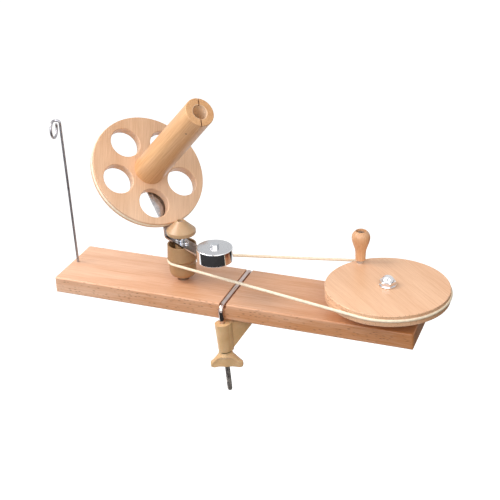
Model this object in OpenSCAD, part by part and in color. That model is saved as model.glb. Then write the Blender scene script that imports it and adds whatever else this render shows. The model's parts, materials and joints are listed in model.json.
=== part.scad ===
// Wooden yarn ball winder with a belt drive and a slanted winding head.
// Millimetres. Z up, X along the board, the clamp side faces -Y.
// The origin is the middle of the board's underside.

/* [Board] */
// Length of the board
board_l = 440; // [380:1:600]
// Width of the board
board_w = 92; // [76:1:140]
// Thickness of the board
board_t = 20; // [16:0.5:30]
// Rounding of the board's edges
board_edge = 2; // [0.5:0.5:4]
// Rounding of the board's corners seen from above
board_corner = 3; // [2:0.5:8]
// Distance of the wheel's axis from the board's right end
wheel_inset = 41.5; // [30:0.5:70]
// Distance of the yarn guide from the board's left end
guide_inset = 8; // [6:0.5:20]
// Distance of the spindle's axis from the board's left end
spindle_inset = 149.5; // [120:0.5:170]

/* [Clamp rod] */
// Thickness of the clamp rod
rod_d = 6; // [5:0.5:8]
// Distance of the clamp rod from the middle of the board, to the left
rod_left = 4; // [-10:0.5:20]
// Width of the groove for the rod
groove_w = 8.55; // [8.3:0.05:12]
// Bend radius of the rod at its middle line
rod_bend = 7; // [6:0.5:12]
// Gap between the board's front face and the rod's leg
leg_gap = 0.3; // [0.3:0.1:2]
// Length of the leg from the groove line to its tip
leg_l = 109; // [95:0.5:150]
// Length of the hook's tail behind the board
tail_l = 14; // [10:0.5:16]
// Sideways lean of the leg, the rod has turned a little in its groove
leg_lean = 4.6; // [0:0.1:6]
// Clearance between the rod and the groove
rod_clear = 0.05; // [0.02:0.01:0.2]

/* [Clamp jaw] */
// Distance of the jaw's top below the groove line
jaw_drop = 20; // [19:0.1:30]
// Height of the jaw
jaw_h = 35.3; // [28:0.1:45]
// Outer radius of the jaw's sleeve at its top
jaw_top_r = 9; // [7:0.1:11]
// Outer radius of the jaw's sleeve at its foot
jaw_foot_r = 8; // [6.5:0.1:11]
// Reach of the sleeve's swelling towards the web
jaw_swell = 3.5; // [1:0.1:6]
// Reach of the jaw's web from the rod
jaw_reach = 39; // [28:0.5:45]
// Thickness of the jaw's web
jaw_w = 8; // [5:0.5:14]
// Height of the web's blunt end
jaw_nose_h = 4.5; // [3:0.1:8]
// Swivel of the jaw on the leg at rest
jaw_turn = 45; // [0:1:90]
// Gap between the clamp's loose pieces along the rod
clamp_gap = 0.2; // [0.1:0.05:0.5]
// Radial clearance of the pieces that slide on the rod
slide_clear = 0.1; // [0.02:0.01:0.1]
// Radius of the clamp washer
clamp_washer_r = 7.2; // [6.2:0.1:9]
// Thickness of the clamp washer
clamp_washer_t = 1.2; // [0.8:0.1:2]

/* [Wing nut] */
// Full width across the wings
wing_span = 38.6; // [32:0.1:50]
// Height of the wing nut
wing_h = 20.6; // [17:0.1:28]
// Radius of the wing nut's neck
wing_neck_r = 8.6; // [7:0.1:11]
// Height of the neck above the wings
wing_neck_h = 2.6; // [1:0.1:6]
// Thickness of the wings at the hub
wing_t = 15; // [10:0.1:17]
// Thickness of the wings at their tips
wing_tip_t = 7; // [3:0.1:10]
// Rounding of the wing tips
wing_tip_r = 3.4; // [2:0.1:5]
// Turn of the wings about the leg at rest
wing_turn = 12; // [0:1:90]
// Height of the metal hex nut in the wing nut
insert_h = 5; // [4:0.1:7]

/* [Standard parts] */
// Width across flats of the hex nuts
nut_af = 10; // [8:0.1:13]
// Height of the thin nuts
thin_nut_h = 3.2; // [2.5:0.1:4]
// Diameter of spindle stud and wheel bolt
stud_d = 6; // [5:0.5:7]
// Radial clearance of turning pieces on their shafts
run_clear = 0.05; // [0.02:0.01:0.1]
// Radial clearance of holes round fixed bolts
fit_clear = 0.1; // [0.05:0.01:0.3]
// Gap along the axis between turning and fixed pieces
run_gap = 0.3; // [0.2:0.05:0.6]
// Height of the bolt heads
bolt_head_h = 4; // [3:0.1:5]
// Radius of the recesses for the bolt heads
recess_r = 9; // [7:0.1:12]
// Depth of the recesses for the bolt heads
recess_h = 6; // [5:0.1:9]

/* [Drive wheel] */
// Radius of the drive wheel
wheel_r = 70.4; // [60:0.1:85]
// Thickness of the drive wheel
wheel_t = 13.2; // [10:0.1:18]
// Height of the belt groove above the wheel's underside
wheel_groove_h = 7.5; // [5:0.05:9]
// Rounding of the wheel's edges
wheel_edge = 0.9; // [0.3:0.1:2]
// Height of the belt's middle above the board
belt_rise = 24.8; // [22:0.1:32]
// Outer radius of the post under the wheel
post_r = 8; // [6.5:0.1:12]
// Radius of the journal that the wheel turns on
journal_r = 4.5; // [4:0.1:6]
// Radius of the washer on the wheel
wheel_washer_r = 9.6; // [7:0.1:14]
// Thickness of the washer on the wheel
wheel_washer_t = 1.2; // [0.8:0.1:2]
// Width across flats of the cap nut
cap_af = 16.4; // [13:0.1:18]
// Height of the cap nut's hexagon
cap_hex_h = 5; // [3:0.1:8]
// Height of the cap nut's dome above its hexagon
cap_dome_h = 6; // [2.5:0.1:8]

/* [Drive belt] */
// Thickness of the round belt
belt_d = 3.4; // [2.5:0.1:5]
// Running radius of the belt's middle line on the pulley
pulley_belt_r = 16.8; // [15.5:0.1:17.5]
// How far the belt's middle line stands proud of the wheel's rim
belt_proud = 0.1; // [-0.5:0.05:0.5]
// Clearance between belt and grooves
belt_clear = 0.15; // [0.1:0.01:0.3]

/* [Crank knob] */
// Distance of the knob's axis from the wheel's rim
knob_inset = 6.1; // [5.6:0.1:25]
// Direction of the knob from the wheel's axis at rest
knob_angle = 133.4; // [0:0.1:360]
// Height of the knob
knob_h = 38.2; // [30:0.1:55]
// Radius of the knob's foot
knob_foot_r = 5.9; // [5:0.1:10]
// Radius of the knob's neck
knob_neck_r = 6.2; // [5:0.1:9]
// Height of the neck above the foot
knob_neck_at = 8; // [4:0.5:12]
// Largest radius of the knob
knob_max_r = 10.8; // [8:0.1:14]
// Height of the largest radius
knob_max_at = 28.5; // [22:0.5:35]
// Radius of the recess on top
knob_recess_r = 6.1; // [4:0.1:7]
// Depth of the recess from the knob's top
knob_recess_h = 8; // [4:0.1:12]
// Radius of the head of the knob's screw
knob_head_r = 4.6; // [3.2:0.1:5.5]
// Diameter of the knob's screw
knob_screw_d = 4; // [3:0.1:5]
// Depth of the screw in the wheel
knob_screw_depth = 10; // [7:0.5:12]
// Radius of the knob's washer
knob_washer_r = 4.6; // [3.5:0.1:7]
// Thickness of the knob's washer
knob_washer_t = 3.6; // [0.6:0.1:5]

/* [Belt pulley] */
// Height of the pulley's rim above its bottom
pulley_h = 41.3; // [38:0.1:46]
// Outer radius at the rim
pulley_rim_r = 17.2; // [16.8:0.1:20]
// Outer radius just above the belt
pulley_ledge_r = 17.9; // [17.3:0.1:20]
// Radius of the flange below the belt
pulley_flange_r = 16; // [15.6:0.1:19]
// Radius of the bowl's flat bottom
pulley_foot_r = 9; // [7:0.1:12]
// Height of the rounded bowl
pulley_bowl_h = 8.5; // [5:0.1:11]
// Wall thickness of the cup
pulley_wall = 1.8; // [1.2:0.1:2.4]
// Thickness of the cup's floor
pulley_floor = 3; // [2:0.1:5]
// Outer radius of the hub inside the cup
hub_r = 7.7; // [5:0.1:8.5]
// Height of the hub above the rim
hub_proud = 1; // [0.5:0.1:3]
// Radius of the washer on the board
stud_washer_r = 7; // [6:0.1:10]
// Thickness of the washer on the board
stud_washer_t = 1.2; // [0.8:0.1:2]

/* [Bracket arm] */
// Thickness of the strip
strip_t = 2; // [1.5:0.1:3]
// Width of the strip
strip_w = 16; // [14:0.5:20]
// Distance from the stud to the corner where the strip turns up
riser_u = 22; // [20:0.1:26]
// Lean of the riser, away from the stud
riser_lean = 10; // [0:1:20]
// Inner radius of the bends
strip_bend = 1.5; // [0.5:0.1:3]
// Distance of the two screws from the stud
boss_u = 9.3; // [9:0.1:9.8]
// Radius of the screw bosses in the pulley
boss_r = 3.5; // [3:0.1:4]
// Diameter of the two screws
screw_d = 2.8; // [2:0.1:3.5]
// Radius of the screws' heads
screw_head_r = 2.75; // [2.4:0.05:4]
// Height of the screws' heads
screw_head_h = 2; // [1.5:0.1:3]
// Length of the screws in the pulley
screw_l = 12; // [8:0.5:20]

/* [Counterweight] */
// Distance of the counterweight from the stud
weight_u = 65; // [55:0.5:80]
// Radius of the counterweight
weight_r = 20.9; // [16:0.1:26]
// Height of the counterweight
weight_h = 16.2; // [10:0.1:22]
// Width across flats of the counterweight bolt's head
weight_head_af = 8.6; // [7:0.1:13]
// Rounding of the counterweight's edges
weight_edge = 1.2; // [0.3:0.1:3]

/* [Friction cone] */
// Height of the sleeve between pulley and cone
sleeve_h = 6.8; // [5:0.1:10]
// Outer radius of that sleeve
sleeve_r = 4; // [3.6:0.1:6]
// Height of the cone
cone_h = 16.6; // [13:0.1:18]
// Largest radius of the cone
cone_r = 17.3; // [16.8:0.1:20]
// Radius of the cone where the ring rolls
cone_contact_r = 15.92; // [14.5:0.01:16.5]
// Height of that circle above the cone's underside
cone_contact_h = 6.2; // [5.5:0.1:7.2]
// Radius of the recess in the cone's tip
cone_recess_r = 3.9; // [3.5:0.1:4.5]
// Depth of the recess in the cone's tip
cone_recess_h = 2.5; // [1:0.1:4]
// Rounding of the cone's lower edge
cone_edge = 1.6; // [0.5:0.1:2.5]

/* [Winding head] */
// Slope of the winding axis above the level
wind_tilt = 43; // [38:0.5:48]
// Heading of the counterweight seen from above
head_turn = -31.3; // [-180:0.1:180]
// Radius of the winding disc
disc_r = 70; // [60:0.1:80]
// Thickness of the winding disc
disc_t = 10.5; // [9:0.1:14]
// Rounding of the disc's edges
disc_edge = 0.8; // [0.3:0.1:1.5]
// Radius of the round holes in the disc
hole_r = 18.35; // [10:0.05:20]
// Distance of the round holes from the disc's axis
hole_at = 42.8; // [38:0.1:46]
// Number of round holes
hole_count = 5; // [3:1:5]
// Turn of the holes at rest
hole_turn = 53.3; // [0:0.1:120]
// Thickness of the friction ring
ring_d = 5; // [4:0.1:7]
// How far the ring stands out of the disc's rim
ring_proud = 0.7; // [0.3:0.05:2]
// Depth of the ring's middle behind the disc's front
ring_depth = 5.25; // [4:0.05:7]
// Gap between ring and cone
ring_gap = 0.3; // [0.2:0.05:0.6]

/* [Winding tube] */
// Length of the winding tube
tube_l = 148; // [120:1:180]
// Radius of the tube at the disc
tube_base_r = 18.6; // [15:0.1:22]
// Radius of the tube at its tip
tube_tip_r = 17; // [13:0.1:20]
// Radius of the tube's bore
tube_bore_r = 8.8; // [8.2:0.05:11]
// Rounding of the tube's tip
tube_edge = 1; // [0.3:0.1:2]
// Width of the saw cut at the tip that holds the yarn's end
kerf_w = 1.2; // [0.8:0.1:2]
// Depth of the saw cut
kerf_h = 3; // [2:0.1:12]
// Direction of the saw cut at rest
kerf_turn = 159; // [0:1:360]

/* [Axle] */
// Gap between the disc's back and the slanted plate
plate_gap = 2.8; // [1.8:0.1:4]
// Radius of the axle bolt's shoulder
axle_r = 4; // [3.5:0.1:5]
// Outer radius of the bush
bush_r = 6; // [5.4:0.1:7.5]
// Radius of the bush's collar in the tube
collar_r = 8.2; // [7:0.1:8.6]
// Thickness of the bush's collar
collar_t = 1.5; // [1:0.1:2.5]
// Radius of the axle bolt's head
axle_head_r = 6.5; // [5.5:0.1:8]
// Height of the axle bolt's head
axle_head_h = 4; // [3:0.1:6]
// Diameter of the axle bolt's thread
axle_thread_d = 6; // [5:0.5:7]
// Radius of the axle washers
axle_washer_r = 7; // [6:0.1:7.8]
// Thickness of the washer behind the plate
back_washer_t = 1.2; // [0.8:0.1:2]
// Height of the lock nut
lock_nut_h = 6; // [5:0.1:8]

/* [Yarn guide] */
// Thickness of the guide's wire
wire_d = 3; // [2:0.1:4]
// Height of the guide above the board
guide_h = 183.6; // [150:0.1:220]
// Lean of the guide, away from the winding head
guide_lean = 2.1; // [0:0.1:6]
// Swivel of the guide at rest
guide_turn = 10; // [-30:0.1:30]
// Depth of the wire in the board
guide_depth = 14; // [10:0.5:15]
// Length of the guide's short arm
guide_arm = 7.5; // [6.5:0.1:20]
// Bend radius from the post to the arm
guide_bend = 3; // [2.5:0.1:6]
// Bend radius from the arm to the eye
eye_bend = 2.4; // [2:0.1:3]
// Radius of the eye's middle line
eye_r = 10; // [8:0.1:14]
// How far the wire runs round the eye, in degrees
eye_sweep = 292; // [240:1:300]
// Radial clearance of the wire in the board
guide_clear = 0.05; // [0.02:0.01:0.1]

/* [Hidden] */
$fn = 96;

// Where the two shafts and the guide stand on the board.
wheel_x = board_l / 2 - wheel_inset;
spindle_x = -board_l / 2 + spindle_inset;
centre_distance = wheel_x - spindle_x;
guide_x = -board_l / 2 + guide_inset;
belt_z = board_t + belt_rise;

// The clamp rod lies at the left of its groove, flush with the board.
rod_r = rod_d / 2;
rod_x = -rod_left;
rod_z = board_t - rod_r;
leg_y = board_w / 2 + rod_r + leg_gap;

// The clamp's pieces along the leg, measured down from the groove line.
jaw_bottom = jaw_drop + jaw_h;
jaw_fall = jaw_reach * tan(leg_lean) * cos(jaw_turn);
clamp_washer_at = jaw_bottom + clamp_gap;
wing_at = clamp_washer_at + clamp_washer_t + clamp_gap;
slide_r = rod_r + slide_clear;

// Bolts, nuts and the wheel's stack on its post.
stud_r = stud_d / 2;
nut_r = nut_af / sqrt(3);
stud_hole_r = stud_r + fit_clear;
nut_chamfer = 0.5;
nut_face_r = nut_af / 2 + nut_chamfer / 2;
cap_face_r = cap_af / 2 + nut_chamfer;
bolt_tip = 0.5;
rod_tip = 0.8;
thread_out = 1;
bolt_head_z = recess_h - bolt_head_h;
wheel_z = belt_z - wheel_groove_h;
wheel_top = wheel_z + wheel_t;
post_shoulder_z = wheel_z - run_gap;
journal_top = wheel_top + run_gap;
wheel_washer_top = journal_top + wheel_washer_t;
wheel_belt_r = wheel_r + belt_proud;
groove_r = belt_d / 2 + belt_clear;

// The knob stands on its washer on the wheel.
knob_offset = wheel_r - knob_inset;
knob_washer_top = wheel_top + knob_washer_t;
knob_z = knob_washer_top + run_gap / 2;
knob_recess_z = knob_z + knob_h - knob_recess_h;
knob_head_h = knob_recess_h / 2;

// The spindle's stack, from the board up to the recess in the cone's tip.
stud_nut_z = board_t + stud_washer_t;
pulley_z = stud_nut_z + thin_nut_h + run_gap;
rim_z = pulley_z + pulley_h;
strip_z = rim_z + hub_proud;
strip_top = strip_z + strip_t;
sleeve_z = strip_top + run_gap;
lower_nut_z = sleeve_z + sleeve_h;
cone_z = lower_nut_z + thin_nut_h;
cone_top = cone_z + cone_h;
stud_top = cone_top - cone_recess_h / 2;

// The head's place follows from the cone: the ring must meet its flank.
ring_out_r = disc_r + ring_proud;
ring_mid_r = ring_out_r - ring_d / 2;
flank_z = cone_z + cone_contact_h;
reach = ring_out_r + ring_gap;
head_u = -cone_contact_r - reach * sin(wind_tilt) + ring_depth * cos(wind_tilt);
head_z = flank_z + reach * cos(wind_tilt) + ring_depth * sin(wind_tilt);
cone_tip_r = cone_contact_r - (cone_h - cone_contact_h) / tan(wind_tilt);
shoulder_h = cone_contact_h - (cone_r - cone_contact_r) * tan(wind_tilt);

// Distances along the winding axis, from the disc's front, back is minus.
plate_front = -disc_t - plate_gap;
plate_back = plate_front - strip_t;
bush_back = -disc_t - run_gap / 2;
spacer_front = bush_back - run_gap / 2;
axle_head_at = collar_t + run_gap / 2;
lock_nut_at = plate_back - back_washer_t - lock_nut_h;

// The strip's corners, as seen from the side: u away from the stud, z up.
plate_u = head_u + plate_front * cos(wind_tilt);
plate_z = head_z + plate_front * sin(wind_tilt);
riser_slope = tan(riser_lean);
plate_slope = tan(wind_tilt);
corner_rise = (-plate_u - riser_u - (plate_z - strip_top) * plate_slope)
    / (riser_slope - plate_slope);
corner_u = riser_u + corner_rise * riser_slope;
corner_z = strip_top + corner_rise;
bend_1 = 90 - riser_lean;
bend_2 = wind_tilt - riser_lean;
cut_1 = strip_bend * tan(bend_1 / 2);
cut_2 = (strip_bend + strip_t) * tan(bend_2 / 2);
riser_l = norm([corner_u - riser_u, corner_z - strip_top]) - cut_1 - cut_2;
plate_l = norm([-plate_u - corner_u, plate_z - corner_z]) - cut_2;
bend_steps = 8;

// Wood, steel, rubber and moulded colours.
wood = [0.92, 0.75, 0.55];
steel = [0.72, 0.73, 0.75];
cream = [0.97, 0.92, 0.82];
beige = [0.84, 0.69, 0.5];

// Places a piece on the spindle axis, on the wheel's axis or on the knob's.
module at_spindle() {
    translate([spindle_x, 0, 0])
        children();
}

module at_wheel() {
    translate([wheel_x, 0, 0])
        children();
}

module at_knob() {
    at_wheel()
        rotate([0, 0, knob_angle])
            translate([knob_offset, 0, 0])
                children();
}

// Turns with the arm: +X runs towards the counterweight.
module at_arm() {
    at_spindle()
        rotate([0, 0, head_turn])
            children();
}

// Disc's front centre, +Z along the winding axis, +X down the slope.
module at_head() {
    at_arm()
        translate([head_u, 0, head_z])
            rotate([0, 90 - wind_tilt, 0])
                children();
}

// Groove line of the clamp rod, turned with it.
module at_rod() {
    translate([rod_x, 0, rod_z])
        rotate([0, -leg_lean, 0])
            children();
}

// Top of the clamp's leg, -Z runs down along the leg.
module at_leg() {
    at_rod()
        translate([0, -leg_y, 0])
            children();
}

// A hexagon prism by its width across flats.
module hex(af, h) {
    cylinder(r = af / sqrt(3), h = h, $fn = 6);
}

// A nut with rounded corners on both faces.
module nut(h, bore_r) {
    difference() {
        intersection() {
            hex(nut_af, h);
            cylinder(r1 = nut_face_r, r2 = nut_face_r + h, h = h);
            cylinder(r1 = nut_face_r + h, r2 = nut_face_r, h = h);
        }
        translate([0, 0, -1])
            cylinder(r = bore_r, h = h + 2);
    }
}

module washer(r, bore_r, t) {
    difference() {
        cylinder(r = r, h = t);
        translate([0, 0, -1])
            cylinder(r = bore_r, h = t + 2);
    }
}

// A disc whose two edges are rounded.
module round_disc(r, h, e) {
    rotate_extrude() {
        square([r - e, h]);
        translate([0, e])
            square([r, h - 2 * e]);
        translate([r - e, e])
            circle(e);
        translate([r - e, h - e])
            circle(e);
    }
}

// A rectangle with rounded corners, its middle at the origin.
module round_rect(l, w, r) {
    square([l - 2 * r, w], center = true);
    square([l, w - 2 * r], center = true);
    for (x = [-1, 1], y = [-1, 1])
        translate([x * (l / 2 - r), y * (w / 2 - r)])
            circle(r);
}

// Bent wire. Each step is [length, bend radius, bend angle, roll]: a straight
// piece along +Z, then a bend towards +X after a roll about the wire.
module wire(r, steps, i = 0) {
    if (i < len(steps)) {
        step = steps[i];
        straight = step[0];
        bend = step[1];
        angle = step[2];
        roll = step[3];
        if (straight > 0)
            cylinder(r = r, h = straight);
        translate([0, 0, straight])
            rotate([0, 0, roll]) {
                if (angle > 0)
                    translate([bend, 0, 0])
                        rotate([90, 0, 180])
                            rotate_extrude(angle = angle)
                                translate([bend, 0])
                                    circle(r);
                translate([bend * (1 - cos(angle)), 0, bend * sin(angle)])
                    rotate([0, angle, 0])
                        wire(r, steps, i + 1);
            }
    }
}

// The clamp rod: tail, hook, groove run, front bend and leg.
module rod_path(r, tail, leg) {
    at_rod()
        translate([0, leg_y, -tail])
            wire(r, [
                [tail - rod_bend, rod_bend, 90, -90],
                [2 * leg_y - 2 * rod_bend, rod_bend, 90, 0],
                [leg - rod_bend, 0, 0, 0]
            ]);
}

// The wooden board with the rod's groove and the holes for both bolts.
module board() {
    hole_top = board_t + 1;
    color(wood)
        difference() {
            intersection() {
                linear_extrude(board_t)
                    round_rect(board_l, board_w, board_corner);
                translate([0, board_w / 2, board_t / 2])
                    rotate([90, 0, 0])
                        linear_extrude(board_w)
                            round_rect(board_l, board_t, board_edge);
                translate([-board_l / 2, 0, board_t / 2])
                    rotate([90, 0, 90])
                        linear_extrude(board_l)
                            round_rect(board_w, board_t, board_edge);
            }
            translate([rod_x - rod_r - rod_clear, -board_w, rod_z - rod_r - rod_clear])
                cube([groove_w, 2 * board_w, board_t]);
            rod_path(rod_r + rod_clear, tail_l, board_t + rod_bend);
            at_spindle()
                bolt_hole(hole_top);
            at_wheel()
                bolt_hole(hole_top);
            at_guide()
                translate([0, 0, -guide_depth - run_gap])
                    cylinder(r = wire_d / 2 + guide_clear, h = 2 * guide_depth);
        }
}

// A bolt's hole through the board with the recess for its head.
module bolt_hole(top) {
    translate([0, 0, -1])
        cylinder(r = stud_hole_r, h = top + 1);
    translate([0, 0, -1])
        cylinder(r = recess_r, h = recess_h + 1);
}

// A hex bolt up through the board.
module board_bolt(top) {
    translate([0, 0, bolt_head_z])
        hex(nut_af, bolt_head_h);
    translate([0, 0, recess_h - bolt_tip])
        cylinder(r = stud_r, h = top - recess_h);
    translate([0, 0, top - bolt_tip])
        cylinder(r1 = stud_r, r2 = stud_r - bolt_tip, h = bolt_tip);
}

// The steel rod that carries the clamp.
module clamp_rod() {
    color(steel) {
        rod_path(rod_r, tail_l, leg_l - rod_tip);
        at_leg()
            translate([0, 0, -leg_l])
                cylinder(r1 = rod_r - rod_tip, r2 = rod_r, h = rod_tip);
    }
}

// The spindle's fixed pieces.
module spindle_stud() {
    color(steel)
        at_spindle()
            board_bolt(stud_top);
}

module stud_washer() {
    color(steel)
        at_spindle()
            translate([0, 0, board_t])
                washer(stud_washer_r, stud_hole_r, stud_washer_t);
}

module stud_nut() {
    color(steel)
        at_spindle()
            translate([0, 0, stud_nut_z])
                nut(thin_nut_h, stud_hole_r);
}

module spindle_sleeve() {
    color(steel)
        at_spindle()
            translate([0, 0, sleeve_z])
                washer(sleeve_r, stud_hole_r, sleeve_h);
}

module cone_lower_nut() {
    color(steel)
        at_spindle()
            translate([0, 0, lower_nut_z])
                nut(thin_nut_h, stud_hole_r);
}

// The moulded cone. Its flank lies along the winding axis, so that the ring
// rolls on it without rubbing.
module friction_cone() {
    color(beige)
        at_spindle()
            translate([0, 0, cone_z])
                difference() {
                    intersection() {
                        round_disc(cone_r, cone_h + cone_edge, cone_edge);
                        cylinder(
                            r1 = cone_contact_r + cone_contact_h / tan(wind_tilt),
                            r2 = cone_tip_r,
                            h = cone_h
                        );
                    }
                    translate([0, 0, -1])
                        cylinder(r = stud_hole_r, h = cone_h + 2);
                    translate([0, 0, cone_h - cone_recess_h])
                        cylinder(r = cone_recess_r, h = cone_recess_h + 1);
                }
}

// The bolt and the stepped post that the wheel turns on.
module wheel_bolt() {
    color(steel)
        at_wheel()
            board_bolt(wheel_washer_top + cap_hex_h);
}

module wheel_post() {
    color(steel)
        at_wheel()
            difference() {
                union() {
                    translate([0, 0, board_t])
                        cylinder(r = post_r, h = post_shoulder_z - board_t);
                    translate([0, 0, board_t])
                        cylinder(r = journal_r, h = journal_top - board_t);
                }
                translate([0, 0, board_t - 1])
                    cylinder(r = stud_hole_r, h = journal_top - board_t + 2);
            }
}

module wheel_washer() {
    color(steel)
        at_wheel()
            translate([0, 0, journal_top])
                washer(wheel_washer_r, stud_hole_r, wheel_washer_t);
}

// The domed nut: a hexagon with a round cap over the bolt's end.
module cap_nut() {
    rim = 0.4;
    dome_r = cap_af / 2 - rim;
    hollow_h = cap_hex_h + bolt_tip;
    color(steel)
        at_wheel()
            translate([0, 0, wheel_washer_top])
                difference() {
                    union() {
                        intersection() {
                            hex(cap_af, cap_hex_h);
                            cylinder(
                                r1 = cap_face_r + cap_hex_h,
                                r2 = cap_face_r,
                                h = cap_hex_h
                            );
                        }
                        intersection() {
                            translate([0, 0, cap_hex_h + cap_dome_h - dome_r])
                                sphere(dome_r);
                            translate([0, 0, cap_hex_h / 2])
                                cylinder(r = dome_r, h = cap_hex_h + cap_dome_h);
                        }
                    }
                    translate([0, 0, -1])
                        cylinder(r = stud_hole_r, h = hollow_h + 1);
                }
}

// The round belt, swept round both wheels and along the two straight runs.
module drive_belt() {
    sides = 16;
    wheel_steps = 44;
    pulley_steps = 16;
    slope = asin((wheel_belt_r - pulley_belt_r) / centre_distance);
    wheel_arc = 90 + slope;
    pulley_arc = 90 - slope;
    // Each stop is [x, y, outward direction].
    stops = [
        for (i = [0 : wheel_steps])
            let (a = -wheel_arc + 2 * wheel_arc * i / wheel_steps)
                [wheel_x + wheel_belt_r * cos(a), wheel_belt_r * sin(a), a],
        for (i = [0 : pulley_steps])
            let (a = 180 - pulley_arc + 2 * pulley_arc * i / pulley_steps)
                [spindle_x + pulley_belt_r * cos(a), pulley_belt_r * sin(a), a]
    ];
    count = len(stops);
    points = [
        for (s = stops, j = [0 : sides - 1])
            let (c = belt_d / 2 * cos(360 * j / sides))
                [
                    s[0] + c * cos(s[2]),
                    s[1] + c * sin(s[2]),
                    belt_z + belt_d / 2 * sin(360 * j / sides)
                ]
    ];
    faces = [
        for (i = [0 : count - 1], j = [0 : sides - 1], half = [0, 1])
            let (
                here = i * sides,
                next = (i + 1) % count * sides,
                k = (j + 1) % sides
            )
                half == 0
                    ? [here + j, here + k, next + j]
                    : [here + k, next + k, next + j]
    ];
    color(cream)
        polyhedron(points, faces);
}

// Foot of the yarn guide on the board, leaning outwards.
module at_guide() {
    translate([guide_x, 0, board_t])
        rotate([0, -guide_lean, 0])
            rotate([0, 0, guide_turn])
                children();
}

// One bent wire: post, short arm and an open eye that the yarn slips into.
module yarn_guide() {
    color(steel)
        at_guide()
            translate([0, 0, -guide_depth])
                wire(wire_d / 2, [
                    [guide_depth + guide_h - guide_bend, guide_bend, 90, 180],
                    [guide_arm - guide_bend - eye_bend, eye_bend, 90, 90],
                    [0, eye_r, eye_sweep, -90]
                ]);
}

// The wooden drive wheel with its belt groove.
module drive_wheel() {
    color(wood)
        difference() {
            at_wheel()
                translate([0, 0, wheel_z])
                    difference() {
                        round_disc(wheel_r, wheel_t, wheel_edge);
                        translate([0, 0, wheel_groove_h])
                            rotate_extrude()
                                translate([wheel_belt_r, 0])
                                    circle(groove_r);
                        translate([0, 0, -1])
                            cylinder(r = journal_r + run_clear, h = wheel_t + 2);
                    }
            at_knob()
                translate([0, 0, wheel_top - knob_screw_depth - run_gap])
                    cylinder(r = knob_screw_d / 2 + run_clear, h = 2 * knob_screw_depth);
        }
}

module knob_washer() {
    color(steel)
        at_knob()
            translate([0, 0, wheel_top])
                washer(knob_washer_r, knob_screw_d / 2 + run_clear, knob_washer_t);
}

// The two crossing slots in a screw's head, cut down from its top.
module cross_slots(l, w, h) {
    for (a = [45, 135])
        rotate([0, 0, a])
            translate([-l / 2, -w / 2, -h])
                cube([l, w, 2 * h]);
}

// The knob's screw, its head sunk in the recess on top.
module knob_screw() {
    head_edge = 0.8;
    head_z = knob_recess_z + run_gap / 2;
    foot_z = wheel_top - knob_screw_depth;
    color(steel)
        at_knob()
            difference() {
                union() {
                    translate([0, 0, foot_z])
                        cylinder(r = knob_screw_d / 2, h = head_z - foot_z + 1);
                    translate([0, 0, head_z])
                        round_disc(knob_head_r, knob_head_h, head_edge);
                }
                translate([0, 0, head_z + knob_head_h])
                    cross_slots(knob_head_r, head_edge, knob_head_h / 3);
            }
}

// Radius of the turned knob at a height above its foot.
function blend(t) = (1 - cos(180 * t)) / 2;
function knob_foot(h) =
    knob_foot_r + (knob_neck_r - knob_foot_r) * blend(h / knob_neck_at);
function knob_body(h) =
    knob_neck_r + (knob_max_r - knob_neck_r)
    * blend((h - knob_neck_at) / (knob_max_at - knob_neck_at));
function knob_cap(h) =
    knob_max_r * sqrt(max(0, 1 - pow((h - knob_max_at) / (knob_h - knob_max_at), 2)));
function knob_radius(h) =
    h < knob_neck_at ? knob_foot(h) : h < knob_max_at ? knob_body(h) : knob_cap(h);

module crank_knob() {
    rings = 36;
    color(wood)
        at_knob()
            translate([0, 0, knob_z])
                difference() {
                    rotate_extrude()
                        polygon([
                            [0, 0],
                            for (i = [0 : rings - 1])
                                [
                                    knob_radius(knob_h * sin(90 * i / rings)),
                                    knob_h * sin(90 * i / rings)
                                ],
                            [0, knob_h]
                        ]);
                    translate([0, 0, -1])
                        cylinder(r = knob_screw_d / 2 + run_clear, h = knob_h);
                    translate([0, 0, knob_h - knob_recess_h])
                        cylinder(r = knob_recess_r, h = knob_recess_h + 1);
                }
}

// The moulded pulley: a thin cup with a belt groove round it, a hub on the
// stud and two bosses for the arm's screws.
module belt_pulley() {
    groove_z = belt_z - pulley_z;
    flange_top = groove_z - groove_r * 0.8;
    ledge_rise = 1.4;
    ledge_z = groove_z + groove_r + ledge_rise;
    throat_r = pulley_belt_r - groove_r - pulley_wall;
    cup_r = pulley_rim_r - pulley_wall;
    bowl_w = pulley_flange_r - pulley_foot_r;
    hub_h = pulley_h + hub_proud;
    color(beige)
        at_arm()
            translate([0, 0, pulley_z])
                difference() {
                    union() {
                        difference() {
                            rotate_extrude()
                                polygon([
                                    [0, 0],
                                    for (a = [-90 : 15 : 0])
                                        [
                                            pulley_foot_r + bowl_w * cos(a),
                                            pulley_bowl_h * (1 + sin(a))
                                        ],
                                    [pulley_flange_r, flange_top],
                                    [pulley_belt_r - groove_r, groove_z],
                                    [pulley_belt_r, groove_z + groove_r],
                                    [pulley_ledge_r, ledge_z],
                                    [pulley_rim_r, pulley_h],
                                    [0, pulley_h]
                                ]);
                            translate([0, 0, groove_z])
                                rotate_extrude()
                                    translate([pulley_belt_r, 0])
                                        circle(groove_r);
                            rotate_extrude()
                                polygon([
                                    [0, pulley_floor],
                                    [pulley_foot_r, pulley_floor],
                                    [throat_r, pulley_bowl_h],
                                    [throat_r, groove_z + groove_r],
                                    [cup_r, ledge_z + 1],
                                    [cup_r, pulley_h + 1],
                                    [0, pulley_h + 1]
                                ]);
                        }
                        cylinder(r = hub_r, h = hub_h);
                        for (side = [-1, 1])
                            translate([side * boss_u, 0, pulley_floor / 2])
                                cylinder(r = boss_r, h = hub_h - pulley_floor / 2);
                    }
                    translate([0, 0, -1])
                        cylinder(r = stud_r + run_clear, h = hub_h + 2);
                    for (side = [-1, 1])
                        translate([side * boss_u, 0, hub_h - screw_l - 1])
                            cylinder(r = screw_d / 2 + run_clear, h = screw_l + 2);
                }
}

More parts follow.
